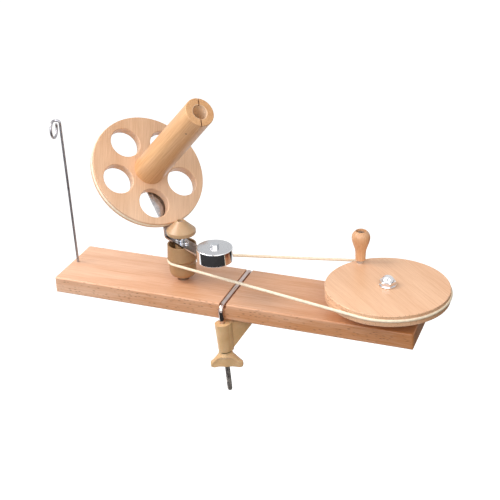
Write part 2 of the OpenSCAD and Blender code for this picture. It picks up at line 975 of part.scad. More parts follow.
// Points of one face of the strip round a bend, from the outline's corner.
function strip_arc(centre, radius, from, to) = [
    for (i = [0 : bend_steps])
        let (a = from + (to - from) * i / bend_steps)
            centre + radius * [cos(a), sin(a)]
];

// The strip's left half from the side: level run, riser and slanted plate.
// X runs away from the stud, and Y = 0 is the strip's upper face.
module strip_side() {
    rise = bend_1;
    up = [cos(rise), sin(rise)];
    on = [cos(rise - bend_2), sin(rise - bend_2)];
    back = strip_t * [sin(rise - bend_2), -cos(rise - bend_2)];
    centre_1 = [riser_u - cut_1, strip_bend];
    start_2 = centre_1 + strip_bend * [sin(rise), -cos(rise)] + riser_l * up;
    centre_2 = start_2 + (strip_bend + strip_t) * [sin(rise), -cos(rise)];
    end_2 = centre_2 + (strip_bend + strip_t) * [sin(bend_2 - rise), cos(bend_2 - rise)];
    top = end_2 + plate_l * on;
    polygon(concat(
        [[0, -strip_t], [0, 0]],
        strip_arc(centre_1, strip_bend, -90, rise - 90),
        strip_arc(centre_2, strip_bend + strip_t, rise + 90, rise + 90 - bend_2),
        [top, top + back],
        strip_arc(centre_2, strip_bend, rise + 90 - bend_2, rise + 90),
        strip_arc(centre_1, strip_bend + strip_t, rise - 90, -90)
    ));
}

// The bent steel arm between the pulley, the counterweight and the axle.
module bracket_arm() {
    color(steel)
        difference() {
            union() {
                at_arm() {
                    translate([0, -strip_w / 2, strip_top])
                        rotate([90, 0, 180])
                            linear_extrude(strip_w)
                                strip_side();
                    translate([-1, -strip_w / 2, strip_z])
                        cube([weight_u + 1, strip_w, strip_t]);
                    translate([weight_u, 0, strip_z])
                        cylinder(r = strip_w / 2, h = strip_t);
                }
                at_head()
                    translate([0, 0, plate_back])
                        cylinder(r = strip_w / 2, h = strip_t);
            }
            at_arm() {
                translate([0, 0, strip_z - 1])
                    cylinder(r = stud_r + run_clear, h = strip_t + 2);
                for (u = [-boss_u, boss_u])
                    translate([u, 0, strip_z - 1])
                        cylinder(r = screw_d / 2 + fit_clear, h = strip_t + 2);
                translate([weight_u, 0, strip_z - 1])
                    cylinder(r = stud_hole_r, h = strip_t + 2);
            }
            at_head()
                translate([0, 0, plate_back - 1])
                    cylinder(r = axle_thread_d / 2 + fit_clear, h = strip_t + 2);
        }
}

module arm_screws() {
    head_edge = 0.7;
    color(steel)
        at_arm()
            for (side = [-1, 1])
                translate([side * boss_u, 0, strip_top])
                    difference() {
                        union() {
                            translate([0, 0, -strip_t - screw_l])
                                cylinder(r = screw_d / 2, h = strip_t + screw_l + head_edge);
                            round_disc(screw_head_r, screw_head_h, head_edge);
                        }
                        translate([0, 0, screw_head_h])
                            cross_slots(screw_head_r, head_edge, screw_head_h / 2);
                    }
}

// The counterweight, its bolt down through the strip and the nut below.
module counterweight() {
    color(steel)
        at_arm()
            translate([weight_u, 0, strip_top])
                difference() {
                    round_disc(weight_r, weight_h, weight_edge);
                    translate([0, 0, -1])
                        cylinder(r = stud_hole_r, h = weight_h + 2);
                }
}

module weight_bolt() {
    head_z = strip_top + weight_h;
    face_r = weight_head_af / 2 + nut_chamfer / 2;
    foot_z = strip_z - thin_nut_h - thread_out;
    color(steel)
        at_arm()
            translate([weight_u, 0, 0]) {
                translate([0, 0, foot_z])
                    cylinder(r = stud_r, h = head_z - foot_z + 1);
                translate([0, 0, head_z])
                    intersection() {
                        hex(weight_head_af, bolt_head_h);
                        cylinder(
                            r1 = face_r + bolt_head_h,
                            r2 = face_r,
                            h = bolt_head_h
                        );
                    }
            }
}

module weight_nut() {
    color(steel)
        at_arm()
            translate([weight_u, 0, strip_z - thin_nut_h])
                nut(thin_nut_h, stud_hole_r);
}

// The axle: a shoulder bolt held to the slanted plate from behind.
module axle_bolt() {
    tip = lock_nut_at - thread_out;
    head_edge = 1;
    socket_h = axle_head_h / 2;
    color(steel)
        at_head()
            difference() {
                union() {
                    translate([0, 0, tip])
                        cylinder(r = axle_thread_d / 2, h = plate_front - tip + 1);
                    translate([0, 0, plate_front])
                        cylinder(r = axle_r, h = axle_head_at - plate_front + 1);
                    translate([0, 0, axle_head_at])
                        round_disc(axle_head_r, axle_head_h, head_edge);
                }
                translate([0, 0, axle_head_at + axle_head_h - socket_h])
                    hex(axle_r, 2 * socket_h);
            }
}

module axle_spacer() {
    color(steel)
        at_head()
            translate([0, 0, plate_front])
                washer(axle_washer_r, axle_r + fit_clear, spacer_front - plate_front);
}

module axle_back_washer() {
    color(steel)
        at_head()
            translate([0, 0, plate_back - back_washer_t])
                washer(axle_washer_r, axle_thread_d / 2 + fit_clear, back_washer_t);
}

module axle_lock_nut() {
    color(steel)
        at_head()
            translate([0, 0, lock_nut_at])
                nut(lock_nut_h, axle_thread_d / 2 + fit_clear);
}

// The wooden disc with its round holes and the groove for the ring.
module winding_disc() {
    slot_w = ring_d + 2 * run_clear;
    color(wood)
        at_head()
            difference() {
                translate([0, 0, -disc_t])
                    round_disc(disc_r, disc_t, disc_edge);
                translate([0, 0, -ring_depth])
                    rotate_extrude() {
                        translate([ring_mid_r, 0])
                            circle(slot_w / 2);
                        translate([ring_mid_r, -slot_w / 2])
                            square([ring_d, slot_w]);
                    }
                for (i = [0 : hole_count - 1])
                    rotate([0, 0, hole_turn + i * 360 / hole_count])
                        translate([hole_at, 0, -disc_t - 1])
                            cylinder(r = hole_r, h = disc_t + 2);
                translate([0, 0, -disc_t - 1])
                    cylinder(r = bush_r + run_clear, h = disc_t + 2);
            }
}

module friction_ring() {
    color(cream)
        at_head()
            translate([0, 0, -ring_depth])
                rotate_extrude()
                    translate([ring_mid_r, 0])
                        circle(ring_d / 2);
}

// The wooden tube that the ball is wound on, sawn across its tip.
module winding_tube() {
    color(wood)
        at_head()
            difference() {
                rotate_extrude() {
                    polygon([
                        [0, 0],
                        [tube_base_r, 0],
                        [tube_tip_r, tube_l - tube_edge],
                        [0, tube_l - tube_edge]
                    ]);
                    translate([0, tube_l - 2 * tube_edge])
                        square([tube_tip_r - tube_edge, 2 * tube_edge]);
                    translate([tube_tip_r - tube_edge, tube_l - tube_edge])
                        circle(tube_edge);
                }
                translate([0, 0, -1])
                    cylinder(r = tube_bore_r, h = tube_l + 2);
                rotate([0, 0, kerf_turn])
                    translate([-2 * tube_tip_r, -kerf_w / 2, tube_l - kerf_h])
                        cube([4 * tube_tip_r, kerf_w, kerf_h + 1]);
            }
}

module winding_bush() {
    color(steel)
        at_head()
            difference() {
                union() {
                    translate([0, 0, bush_back])
                        cylinder(r = bush_r, h = -bush_back + collar_t);
                    cylinder(r = collar_r, h = collar_t);
                }
                translate([0, 0, bush_back - 1])
                    cylinder(r = axle_r + run_clear, h = collar_t - bush_back + 2);
            }
}

// The pieces that slide on the clamp's leg.
module clamp_washer() {
    color(steel)
        at_leg()
            translate([0, 0, -clamp_washer_at - clamp_washer_t])
                washer(clamp_washer_r, slide_r, clamp_washer_t);
}

// The moulded jaw: a tapered sleeve on the rod, swollen towards the thin web
// that reaches under the table. The web's top falls away from the leaning leg,
// so it lies level.
module clamp_jaw() {
    web_edge = 0.8;
    step = 1;
    nose_top = jaw_h - jaw_fall;
    color(beige)
        at_leg()
            rotate([0, 0, jaw_turn])
                translate([0, 0, -jaw_bottom])
                    difference() {
                        union() {
                            cylinder(r1 = jaw_foot_r, r2 = jaw_top_r, h = jaw_h);
                            translate([jaw_swell, 0, 0])
                                cylinder(
                                    r1 = jaw_foot_r - step,
                                    r2 = jaw_top_r - step,
                                    h = jaw_h
                                );
                            translate([0, jaw_w / 2, 0])
                                rotate([90, 0, 0])
                                    linear_extrude(jaw_w)
                                        polygon([
                                            [0, web_edge],
                                            [jaw_foot_r, web_edge],
                                            [jaw_reach, nose_top - jaw_nose_h],
                                            [jaw_reach, nose_top - web_edge],
                                            [jaw_reach - web_edge, nose_top],
                                            [0, jaw_h]
                                        ]);
                        }
                        translate([0, 0, -1])
                            cylinder(r = slide_r, h = jaw_h + 2);
                    }
}

// The moulded wing nut: a round neck on two drooping wings, thick at the hub
// and thin at their tips.
module wing_nut() {
    half = wing_span / 2;
    body_h = wing_h - wing_neck_h;
    neck_edge = 0.8;
    color(beige)
        at_leg()
            rotate([0, 0, wing_turn])
                translate([0, 0, -wing_at - wing_h])
                    difference() {
                        union() {
                            round_disc(wing_neck_r, wing_h, neck_edge);
                            intersection() {
                                translate([0, wing_t / 2, 0])
                                    rotate([90, 0, 0])
                                        linear_extrude(wing_t)
                                            wing_outline(half, body_h);
                                linear_extrude(body_h)
                                    polygon([
                                        [-half, -wing_tip_t / 2],
                                        [0, -wing_t / 2],
                                        [half, -wing_tip_t / 2],
                                        [half, wing_tip_t / 2],
                                        [0, wing_t / 2],
                                        [-half, wing_tip_t / 2]
                                    ]);
                            }
                        }
                        translate([0, 0, -1])
                            cylinder(r = slide_r, h = wing_h + 2);
                        translate([0, 0, wing_h - insert_h - clamp_gap])
                            hex(nut_af + 2 * fit_clear, insert_h + clamp_gap + 1);
                    }
}

// One side view of both wings, rounded at the tips.
module wing_outline(half, h) {
    tip_slope = 0.5;
    tip = [half - wing_tip_r, wing_tip_r];
    for (side = [0, 1])
        mirror([side, 0]) {
            polygon([
                [0, 0],
                [tip[0], 0],
                [half, wing_tip_r],
                [half - tip_slope, 2 * wing_tip_r],
                [wing_neck_r - tip_slope, h],
                [0, h]
            ]);
            translate(tip)
                circle(wing_tip_r);
        }
}

module wing_nut_insert() {
    color(steel)
        at_leg()
            rotate([0, 0, wing_turn])
                translate([0, 0, -wing_at - insert_h - clamp_gap / 2])
                    difference() {
                        hex(nut_af, insert_h);
                        translate([0, 0, -1])
                            cylinder(r = slide_r, h = insert_h + 2);
                    }
}

board();
clamp_rod();
spindle_stud();
stud_washer();
stud_nut();
spindle_sleeve();
cone_lower_nut();
friction_cone();
wheel_bolt();
wheel_post();
wheel_washer();
cap_nut();
drive_belt();
yarn_guide();
drive_wheel();
knob_screw();
knob_washer();
crank_knob();
belt_pulley();
bracket_arm();
arm_screws();
counterweight();
weight_bolt();
weight_nut();
axle_bolt();
axle_spacer();
axle_back_washer();
axle_lock_nut();
winding_disc();
friction_ring();
winding_tube();
winding_bush();
clamp_washer();
clamp_jaw();
wing_nut();
wing_nut_insert();
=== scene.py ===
# Wooden yarn ball winder: a board with a table clamp, a belt drive, a slanted
# winding head with its counterweight, and a wire guide. Metres, Z up, X along
# the board. Each section dresses one piece of the CAD frame or replaces it.
import json
import math

import bmesh
import bpy
from mathutils import Matrix, Vector

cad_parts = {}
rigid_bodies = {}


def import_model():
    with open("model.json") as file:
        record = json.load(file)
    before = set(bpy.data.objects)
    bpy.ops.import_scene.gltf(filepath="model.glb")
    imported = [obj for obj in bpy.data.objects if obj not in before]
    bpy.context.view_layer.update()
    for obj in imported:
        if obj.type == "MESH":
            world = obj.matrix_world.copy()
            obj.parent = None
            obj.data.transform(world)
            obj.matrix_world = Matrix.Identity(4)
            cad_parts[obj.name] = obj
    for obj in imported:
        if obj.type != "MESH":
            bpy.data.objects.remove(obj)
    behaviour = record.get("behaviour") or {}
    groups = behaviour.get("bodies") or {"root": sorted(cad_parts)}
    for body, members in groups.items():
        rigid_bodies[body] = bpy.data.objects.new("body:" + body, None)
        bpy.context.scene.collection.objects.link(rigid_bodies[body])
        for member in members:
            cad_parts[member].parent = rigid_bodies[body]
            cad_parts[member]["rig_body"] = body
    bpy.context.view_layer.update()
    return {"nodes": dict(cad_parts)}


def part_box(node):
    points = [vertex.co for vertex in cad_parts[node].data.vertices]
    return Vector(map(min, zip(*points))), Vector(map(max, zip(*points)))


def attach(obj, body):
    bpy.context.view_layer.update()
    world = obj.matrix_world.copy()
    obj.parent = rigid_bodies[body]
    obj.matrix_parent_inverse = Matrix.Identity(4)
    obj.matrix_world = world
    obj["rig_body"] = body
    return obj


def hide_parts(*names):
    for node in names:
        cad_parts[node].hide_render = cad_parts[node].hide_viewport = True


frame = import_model()
mm = 0.001

# ---------------------------------------------------------------- camera
# The photograph's camera, solved from the board's edges and the wheel's rim:
# above the front right corner of the board, a long lens, tilted a little.
lens_data = bpy.data.cameras.new("camera")
lens_data.lens = 83.513
lens_data.sensor_width = 36
lens_data.clip_start = 0.01
lens_data.clip_end = 50
camera = bpy.data.objects.new("camera", lens_data)
bpy.context.scene.collection.objects.link(camera)
right = Vector((0.93882, 0.34378, -0.02070))
ahead = Vector((-0.31715, 0.83954, -0.44111))
above = right.cross(ahead)
camera_at = Vector((0.43975, -1.12384, 0.66072))
turned = Matrix((right, above, -ahead)).transposed().to_4x4()
camera.matrix_world = Matrix.Translation(camera_at) @ turned
bpy.context.scene.camera = camera

# ---------------------------------------------------------------- board
# A planed plank of steamed beech, sanded, edges eased, satin lacquer. The
# cross groove for the clamp rod is cut in its top.


def linear(shade):
    """An sRGB hex colour as linear red, green, blue and 1."""
    parts = [int(shade[i : i + 2], 16) / 255 for i in (1, 3, 5)]
    return tuple(
        c / 12.92 if c <= 0.04045 else ((c + 0.055) / 1.055) ** 2.4 for c in parts
    ) + (1.0,)


def add(tree, kind, given=None, stops=None, **settings):
    """Adds a node to a tree, with its settings, its values and links, and the
    stops of a ramp."""
    made = tree.nodes.new(kind)
    for name, value in settings.items():
        setattr(made, name, value)
    for name, value in (given or {}).items():
        if isinstance(value, bpy.types.NodeSocket):
            tree.links.new(value, made.inputs[name])
        else:
            made.inputs[name].default_value = value
    for i, (place, shade) in enumerate(stops or []):
        points = made.color_ramp.elements
        point = points[i] if i < 2 else points.new(place)
        point.position = place
        if isinstance(shade, str):
            point.color = linear(shade)
        else:
            point.color = (shade, shade, shade, 1)
    return made


def finish_named(name):
    """A new material with only its shader and output."""
    made = bpy.data.materials.new(name)
    made.use_nodes = True
    return made, made.node_tree, made.node_tree.nodes["Principled BSDF"]


def beech(name, pale, deep, fleck, grain, face, centre, edge, contrast, drift):
    """Steamed beech, sanded and satin lacquered: soft bands of tone, fine lines
    along the grain and, on the sawn edges, the short dark dashes that tell beech
    from other woods. Lines and dashes are drawn about twice as coarse as real,
    or they would not show. The grain runs one way, the face looks another. The
    edge is a mask and a limit: what lies further out shows its dashes, and with a
    limit beyond the piece they stay faint. The drift is the way in which the
    piece grows paler."""
    made, tree, shader = finish_named(name)
    along = Vector(grain).normalized()
    up = Vector(face)
    up = (up - along * up.dot(along)).normalized()
    turn = Matrix((along, up.cross(along), up)).transposed().to_euler("XYZ")
    place = add(tree, "ShaderNodeTexCoord").outputs["Object"]
    laid = add(
        tree,
        "ShaderNodeMapping",
        {"Vector": place, "Location": centre, "Rotation": tuple(turn)},
        vector_type="TEXTURE",
    ).outputs["Vector"]

    def grained(kind, scale, **given):
        drawn = add(tree, "ShaderNodeMapping", {"Vector": laid, "Scale": scale})
        return add(tree, kind, {"Vector": drawn.outputs[0], "Scale": 1, **given})

    # Along and across the grain, bands of 333 by 26 mm, lines of 42 by 1.25 mm
    # and dashes of 6.7 by 1.6 mm.
    bands = grained("ShaderNodeTexNoise", (3, 38, 38), Detail=2, Distortion=0.4)
    lines = grained("ShaderNodeTexNoise", (24, 800, 800), Detail=3, Roughness=0.6)
    dashes = grained("ShaderNodeTexVoronoi", (150, 640, 640), Randomness=1)
    tone = add(
        tree,
        "ShaderNodeMath",
        {0: bands.outputs["Fac"], 1: 0.9, 2: lines.outputs["Fac"]},
        operation="MULTIPLY_ADD",
    )
    spot = add(
        tree,
        "ShaderNodeVectorMath",
        {0: place, 1: centre},
        operation="SUBTRACT",
    )
    paler = add(
        tree,
        "ShaderNodeVectorMath",
        {0: spot.outputs[0], 1: drift},
        operation="DOT_PRODUCT",
    )
    tone = add(
        tree,
        "ShaderNodeMath",
        {0: tone.outputs[0], 1: paler.outputs["Value"]},
        operation="ADD",
    )
    mean = 0.95
    reach = 0.2 / contrast
    ground = add(
        tree,
        "ShaderNodeMapRange",
        {
            "Value": tone.outputs[0],
            "From Min": mean - reach,
            "From Max": mean + reach,
        },
    )
    ground = add(
        tree,
        "ShaderNodeValToRGB",
        {"Fac": ground.outputs[0]},
        stops=[(0.0, deep), (1.0, pale)],
    )
    mask, limit = edge
    away = add(
        tree,
        "ShaderNodeVectorMath",
        {0: spot.outputs[0], 1: mask},
        operation="MULTIPLY",
    )
    away = add(tree, "ShaderNodeVectorMath", {0: away.outputs[0]}, operation="LENGTH")
    shown = add(
        tree,
        "ShaderNodeMapRange",
        {
            "Value": away.outputs["Value"],
            "From Min": limit - 0.3 * mm,
            "From Max": limit,
            "To Min": 0.08,
            "To Max": 0.8,
        },
    )
    dash = add(
        tree,
        "ShaderNodeValToRGB",
        {"Fac": dashes.outputs["Distance"]},
        stops=[(0.1, 1.0), (0.36, 0.0)],
    )
    few = add(
        tree,
        "ShaderNodeMath",
        {0: dashes.outputs["Color"], 1: 0.5},
        operation="GREATER_THAN",
    )
    part = add(
        tree,
        "ShaderNodeMath",
        {0: dash.outputs["Color"], 1: few.outputs[0]},
        operation="MULTIPLY",
    )
    part = add(
        tree,
        "ShaderNodeMath",
        {0: part.outputs[0], 1: shown.outputs[0]},
        operation="MULTIPLY",
    )
    mixed = add(
        tree,
        "ShaderNodeMix",
        {"Factor": part.outputs[0], 6: ground.outputs["Color"], 7: linear(fleck)},
        data_type="RGBA",
    )
    mixed.name = "wood_colour"
    tree.links.new(mixed.outputs[2], shader.inputs["Base Color"])
    gloss = add(
        tree,
        "ShaderNodeMapRange",
        {"Value": lines.outputs["Fac"], "To Min": 0.34, "To Max": 0.48},
    )
    tree.links.new(gloss.outputs[0], shader.inputs["Roughness"])
    relief = add(
        tree,
        "ShaderNodeMath",
        {0: lines.outputs["Fac"], 1: part.outputs[0]},
        operation="SUBTRACT",
    )
    pores = add(
        tree,
        "ShaderNodeBump",
        {"Height": relief.outputs[0], "Strength": 0.25, "Distance": 0.05 * mm},
    )
    tree.links.new(pores.outputs[0], shader.inputs["Normal"])
    shader.inputs["IOR"].default_value = 1.5
    shader.inputs["Coat Weight"].default_value = 0.15
    shader.inputs["Coat Roughness"].default_value = 0.3
    return made


def give(material, slot, *nodes):
    """Gives CAD nodes a material on their own slots."""
    for name in nodes:
        shown = frame["nodes"][name]
        if not shown.material_slots:
            shown.data.materials.append(None)
        for held in shown.material_slots:
            held.link = "OBJECT"
            held.material = material


# The plank is the reddest of the beech, and paler towards its left end.
board_beech = beech(
    "beech_plank_lacquered", "#ecc1a1", "#c5834e", "#7c4a29",
    grain=(1, 0.015, 0), face=(0, 0.35, 1), centre=(0, 0, 0),
    edge=((0, 1, 0), 45 * mm), contrast=0.5, drift=(-1.3, 0.6, 0),
)
give(board_beech, "wood", "board")

# ---------------------------------------------------------------- clamp rod
# A 6 mm steel rod, bent cold into a hook, a straight that lies in the groove
# and a long leg. It is nickel plated, and its lower end has a rolled thread.
rod_r = 3 * mm
rod_at = Vector((-4, 0, 17)) * mm
leg_y = 49.3 * mm
lean = math.radians(4.6)
rod_turn = Matrix.Rotation(-lean, 3, "Y")
thread_from = 60 * mm
thread_pitch = 1 * mm
thread_depth = 0.25 * mm


def rod_point(y, z):
    """A point of the rod's own upright plane, in the frame."""
    return rod_at + rod_turn @ Vector((0, y, z))


def round_path(corners, radius, steps):
    """A polyline through the corners with every inner corner rounded."""
    path = [corners[0]]
    for before, here, after in zip(corners, corners[1:], corners[2:]):
        back = (before - here).normalized()
        on = (after - here).normalized()
        half = back.angle(on) / 2
        cut = radius / math.tan(half)
        centre = here + (back + on).normalized() * (radius / math.sin(half))
        start = here + back * cut - centre
        axis = on.cross(back)
        sweep = math.pi - 2 * half
        for i in range(steps + 1):
            path.append(centre + Matrix.Rotation(sweep * i / steps, 3, axis) @ start)
    path.append(corners[-1])
    return path


def tube_along(name, path, radii, sides):
    """A round bar along a path, with a radius at each of its points."""
    work = bmesh.new()
    side = None
    rings = []
    for i, (spot, r) in enumerate(zip(path, radii)):
        after = path[min(i + 1, len(path) - 1)]
        ahead_here = (after - path[max(i - 1, 0)]).normalized()
        if side is None:
            side = ahead_here.orthogonal().normalized()
        side = (side - ahead_here * side.dot(ahead_here)).normalized()
        other = ahead_here.cross(side)
        ring = []
        for j in range(sides):
            a = 2 * math.pi * j / sides
            out_to = side * math.cos(a) + other * math.sin(a)
            ring.append(work.verts.new(spot + out_to * r))
        rings.append(ring)
    for low, high in zip(rings, rings[1:]):
        for j in range(sides):
            k = (j + 1) % sides
            work.faces.new((low[j], low[k], high[k], high[j]))
    work.faces.new(rings[0][::-1])
    work.faces.new(rings[-1])
    return finished(name, work)


def finished(name, work, smooth_under=40):
    """Turns a mesh under way into a piece at the origin, its faces outwards."""
    bmesh.ops.recalc_face_normals(work, faces=work.faces)
    mesh = bpy.data.meshes.new(name)
    work.to_mesh(mesh)
    work.free()
    piece = bpy.data.objects.new(name, mesh)
    bpy.context.scene.collection.objects.link(piece)
    mesh.shade_smooth()
    mesh.set_sharp_from_angle(angle=math.radians(smooth_under))
    return piece


def plated(name, shade, rough, blotch, wave=0.02):
    """Plated steel: a clean bright metal whose tone and gloss wander a little,
    with drawing marks too fine to see one by one."""
    made, tree, shader = finish_named(name)
    place = add(tree, "ShaderNodeTexCoord").outputs["Object"]
    # Clouds of 7 mm, and marks of 1.1 mm, drawn coarser than the real scratches.
    cloud = add(
        tree,
        "ShaderNodeTexNoise",
        {"Vector": place, "Scale": 140, "Detail": 3},
    )
    tint = add(
        tree,
        "ShaderNodeValToRGB",
        {"Fac": cloud.outputs["Fac"]},
        stops=[(0.3, blotch), (0.7, shade)],
    )
    tree.links.new(tint.outputs["Color"], shader.inputs["Base Color"])
    gloss = add(
        tree,
        "ShaderNodeMapRange",
        {"Value": cloud.outputs["Fac"], "To Min": rough * 0.7, "To Max": rough * 1.3},
    )
    tree.links.new(gloss.outputs[0], shader.inputs["Roughness"])
    fine = add(
        tree,
        "ShaderNodeTexNoise",
        {"Vector": place, "Scale": 900, "Detail": 2},
    )
    marks = add(
        tree,
        "ShaderNodeBump",
        {"Height": fine.outputs["Fac"], "Strength": 0.3, "Distance": wave * mm},
    )
    tree.links.new(marks.outputs[0], shader.inputs["Normal"])
    shader.inputs["Metallic"].default_value = 1
    return made


# Nickel keeps a bright mirror with a warm, slightly rosy tone.
nickel = plated("nickel_plated_rod", "#cbbab5", 0.12, "#b5a5a0")
# The rolled thread is painted a dark, mottled grey: a painted reflection of the dark
# parts and shade around it.
thread_painted_dark = plated("thread_steel_painted_reflection", "#918c87", 0.15, "#45413e")

hook_l = 14 * mm
rod_line = round_path(
    [
        rod_point(leg_y, -hook_l),
        rod_point(leg_y, 0),
        rod_point(-leg_y, 0),
        rod_point(-leg_y, -thread_from),
    ],
    radius=7 * mm,
    steps=16,
)
leg_end = 109 * mm
core_r = rod_r - thread_depth
run_in = 0.6 * mm
tip_taper = 0.9 * mm
tip_step = 0.4 * mm
tip = [
    (thread_from + run_in, core_r),
    (leg_end - tip_taper, core_r),
    (leg_end, core_r - tip_step),
]
clamp_bar = tube_along(
    "clamp_rod_bent",
    rod_line + [rod_point(-leg_y, -z) for z, _ in tip],
    [rod_r] * len(rod_line) + [r for _, r in tip],
    sides=40,
)
clamp_bar.data.materials.append(nickel)
# The threaded end of the leg takes the steel painted dark, a painted reflection.
clamp_bar.data.materials.append(thread_painted_dark)
thread_top = rod_point(-leg_y, -thread_from)
down_leg = (rod_point(-leg_y, -leg_end) - thread_top).normalized()
for face in clamp_bar.data.polygons:
    on_leg = face.center.y < -leg_y + rod_r
    if on_leg and (face.center - thread_top).dot(down_leg) > 0:
        face.material_index = 1
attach(clamp_bar, "frame")
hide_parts("clamp_rod")

# The rolled thread is one ridge wound along the leg. A tree winds it from the
# rod's size and the pitch.


def growing_tree(name, **inputs):
    """A geometry tree with a named input for each kind given, and its inputs."""
    tree = bpy.data.node_groups.new(name, "GeometryNodeTree")
    new = tree.interface.new_socket
    new("Geometry", in_out="OUTPUT", socket_type="NodeSocketGeometry")
    for label, kind in inputs.items():
        label = label.replace("_", " ")
        new(label, in_out="INPUT", socket_type="NodeSocket" + kind)
    return tree, tree.nodes.new("NodeGroupInput").outputs


def end_tree(tree, shape, material):
    """Ends a tree: makes instances real and gives the shape its material."""
    real = add(tree, "GeometryNodeRealizeInstances", {"Geometry": shape})
    coated = add(
        tree,
        "GeometryNodeSetMaterial",
        {"Geometry": real.outputs[0], "Material": material},
    )
    out = tree.nodes.new("NodeGroupOutput")
    tree.links.new(coated.outputs[0], out.inputs[0])


def grown(name, tree, values, base=None):
    """Runs a geometry tree on a piece and keeps what it made as a plain mesh."""
    mesh = base or bpy.data.meshes.new(name + "_seed")
    seed = bpy.data.objects.new(name + "_seed", mesh)
    bpy.context.scene.collection.objects.link(seed)
    step = seed.modifiers.new("grow", "NODES")
    step.node_group = tree
    for entry in tree.interface.items_tree:
        if entry.name in values:
            step[entry.identifier] = values[entry.name]
    view = bpy.context.evaluated_depsgraph_get()
    kept = bpy.data.meshes.new_from_object(seed.evaluated_get(view))
    kept.name = name
    bpy.data.objects.remove(seed)
    piece = bpy.data.objects.new(name, kept)
    bpy.context.scene.collection.objects.link(piece)
    return piece


ridge_tree, asked = growing_tree(
    "wound_thread",
    Core_radius="Float",
    Ridge="Float",
    Pitch="Float",
    Length="Float",
    Material="Material",
)
turns = add(
    ridge_tree,
    "ShaderNodeMath",
    {0: asked["Length"], 1: asked["Pitch"]},
    operation="DIVIDE",
)
coil = add(
    ridge_tree,
    "GeometryNodeCurveSpiral",
    {
        "Resolution": 20,
        "Rotations": turns.outputs[0],
        "Start Radius": asked["Core radius"],
        "End Radius": asked["Core radius"],
        "Height": asked["Length"],
    },
)
flank = add(
    ridge_tree,
    "GeometryNodeCurvePrimitiveCircle",
    {"Resolution": 4, "Radius": asked["Ridge"]},
)
wound = add(
    ridge_tree,
    "GeometryNodeCurveToMesh",
    {
        "Curve": coil.outputs[0],
        "Profile Curve": flank.outputs[0],
        "Fill Caps": True,
    },
)
end_tree(ridge_tree, wound.outputs[0], asked["Material"])
foot_clear = 1.2 * mm
top_clear = 0.8 * mm
thread = grown(
    "clamp_rod_thread",
    ridge_tree,
    {
        "Core radius": core_r,
        "Ridge": thread_depth,
        "Pitch": thread_pitch,
        "Length": leg_end - thread_from - (foot_clear + top_clear),
        "Material": thread_painted_dark,
    },
)
thread_foot = rod_point(-leg_y, foot_clear - leg_end)
thread.data.transform(Matrix.Translation(thread_foot) @ rod_turn.to_4x4())
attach(thread, "frame")

# ---------------------------------------------------------------- clamp
# The jaw and the wing nut are moulded from pale beige nylon, with rounded edges.
# A washer parts them, and a steel hex nut is moulded into the wing nut.


def moulded(name, shade, deep):
    """Moulded nylon: one warm beige with a slight cloud from the melt, a satin
    skin and a very fine grain from the mould."""
    made, tree, shader = finish_named(name)
    place = add(tree, "ShaderNodeTexCoord").outputs["Object"]
    # Clouds of 14 mm, and a mould grain of 0.6 mm, drawn coarser than real.
    cloud = add(
        tree,
        "ShaderNodeTexNoise",
        {"Vector": place, "Scale": 70, "Detail": 4, "Roughness": 0.6},
    )
    tint = add(
        tree,
        "ShaderNodeValToRGB",
        {"Fac": cloud.outputs["Fac"]},
        stops=[(0.3, deep), (0.7, shade)],
    )
    tree.links.new(tint.outputs["Color"], shader.inputs["Base Color"])
    grit = add(
        tree,
        "ShaderNodeTexNoise",
        {"Vector": place, "Scale": 1600, "Detail": 2},
    )
    skin = add(
        tree,
        "ShaderNodeBump",
        {"Height": grit.outputs["Fac"], "Strength": 0.3, "Distance": 0.04 * mm},
    )
    tree.links.new(skin.outputs[0], shader.inputs["Normal"])
    gloss = add(
        tree,
        "ShaderNodeMapRange",
        {"Value": cloud.outputs["Fac"], "To Min": 0.31, "To Max": 0.41},
    )
    tree.links.new(gloss.outputs[0], shader.inputs["Roughness"])
    shader.inputs["IOR"].default_value = 1.53
    shader.inputs["Subsurface Weight"].default_value = 0.08
    shader.inputs["Subsurface Scale"].default_value = 1.5 * mm
    return made


def merged_copy(node, name):
    """A copy of a CAD node in its place, with the points of its faces merged."""
    work = bmesh.new()
    work.from_mesh(frame["nodes"][node].data)
    bmesh.ops.remove_doubles(work, verts=work.verts, dist=0.002 * mm)
    bmesh.ops.dissolve_limit(
        work,
        angle_limit=math.radians(2),
        verts=work.verts,
        edges=work.edges,
    )
    piece = finished(name, work, smooth_under=30)
    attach(piece, frame["nodes"][node]["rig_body"])
    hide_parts(node)
    return piece


def eased_copy(node, name, width, segments):
    """A merged copy of a CAD node with its sharp edges rounded."""
    piece = merged_copy(node, name)
    round_off = piece.modifiers.new("eased", "BEVEL")
    round_off.width = width
    round_off.segments = segments
    round_off.limit_method = "ANGLE"
    round_off.angle_limit = math.radians(30)
    round_off.use_clamp_overlap = True
    round_off.harden_normals = True
    return piece


# The jaw and the wing nut have the palest nylon, a warm sand.
pale_nylon = moulded("moulded_nylon_pale", "#dfb98a", "#d0a876")
jaw = eased_copy("clamp_jaw", "clamp_jaw_moulded", 0.5 * mm, segments=3)
jaw.data.materials.append(pale_nylon)

# The wing nut is a skin of rings up the leg. Each is as wide as the wings are at
# that height and as thick as the hub, with a finger dish below an arched ridge.
wing_h = 20.6 * mm
wing_foot = 77.5 * mm
wing_half = 19.3 * mm
wing_tip_r = 2.2 * mm
wing_shoulder = 6.8 * mm
wing_hollow = 0.9 * mm
wing_body_h = 18 * mm
wing_edge = 0.8 * mm
boxy_below = 9 * mm
neck_r = 8.6 * mm
neck_slope = 0.38
hub_half = 8.5 * mm
hub_round = 1.5 * mm
thin_slope = 0.40
thin_curve = 7.8
ridge_top = 15.6 * mm
ridge_fall = 43.5
dish_deep = 1.5 * mm
dish_fade = 4 * mm
foot_arch = 2.6 * mm
rod_hole_r = 3.15 * mm
nut_pocket = 5.15 * mm
nut_pocket_h = 4.4 * mm


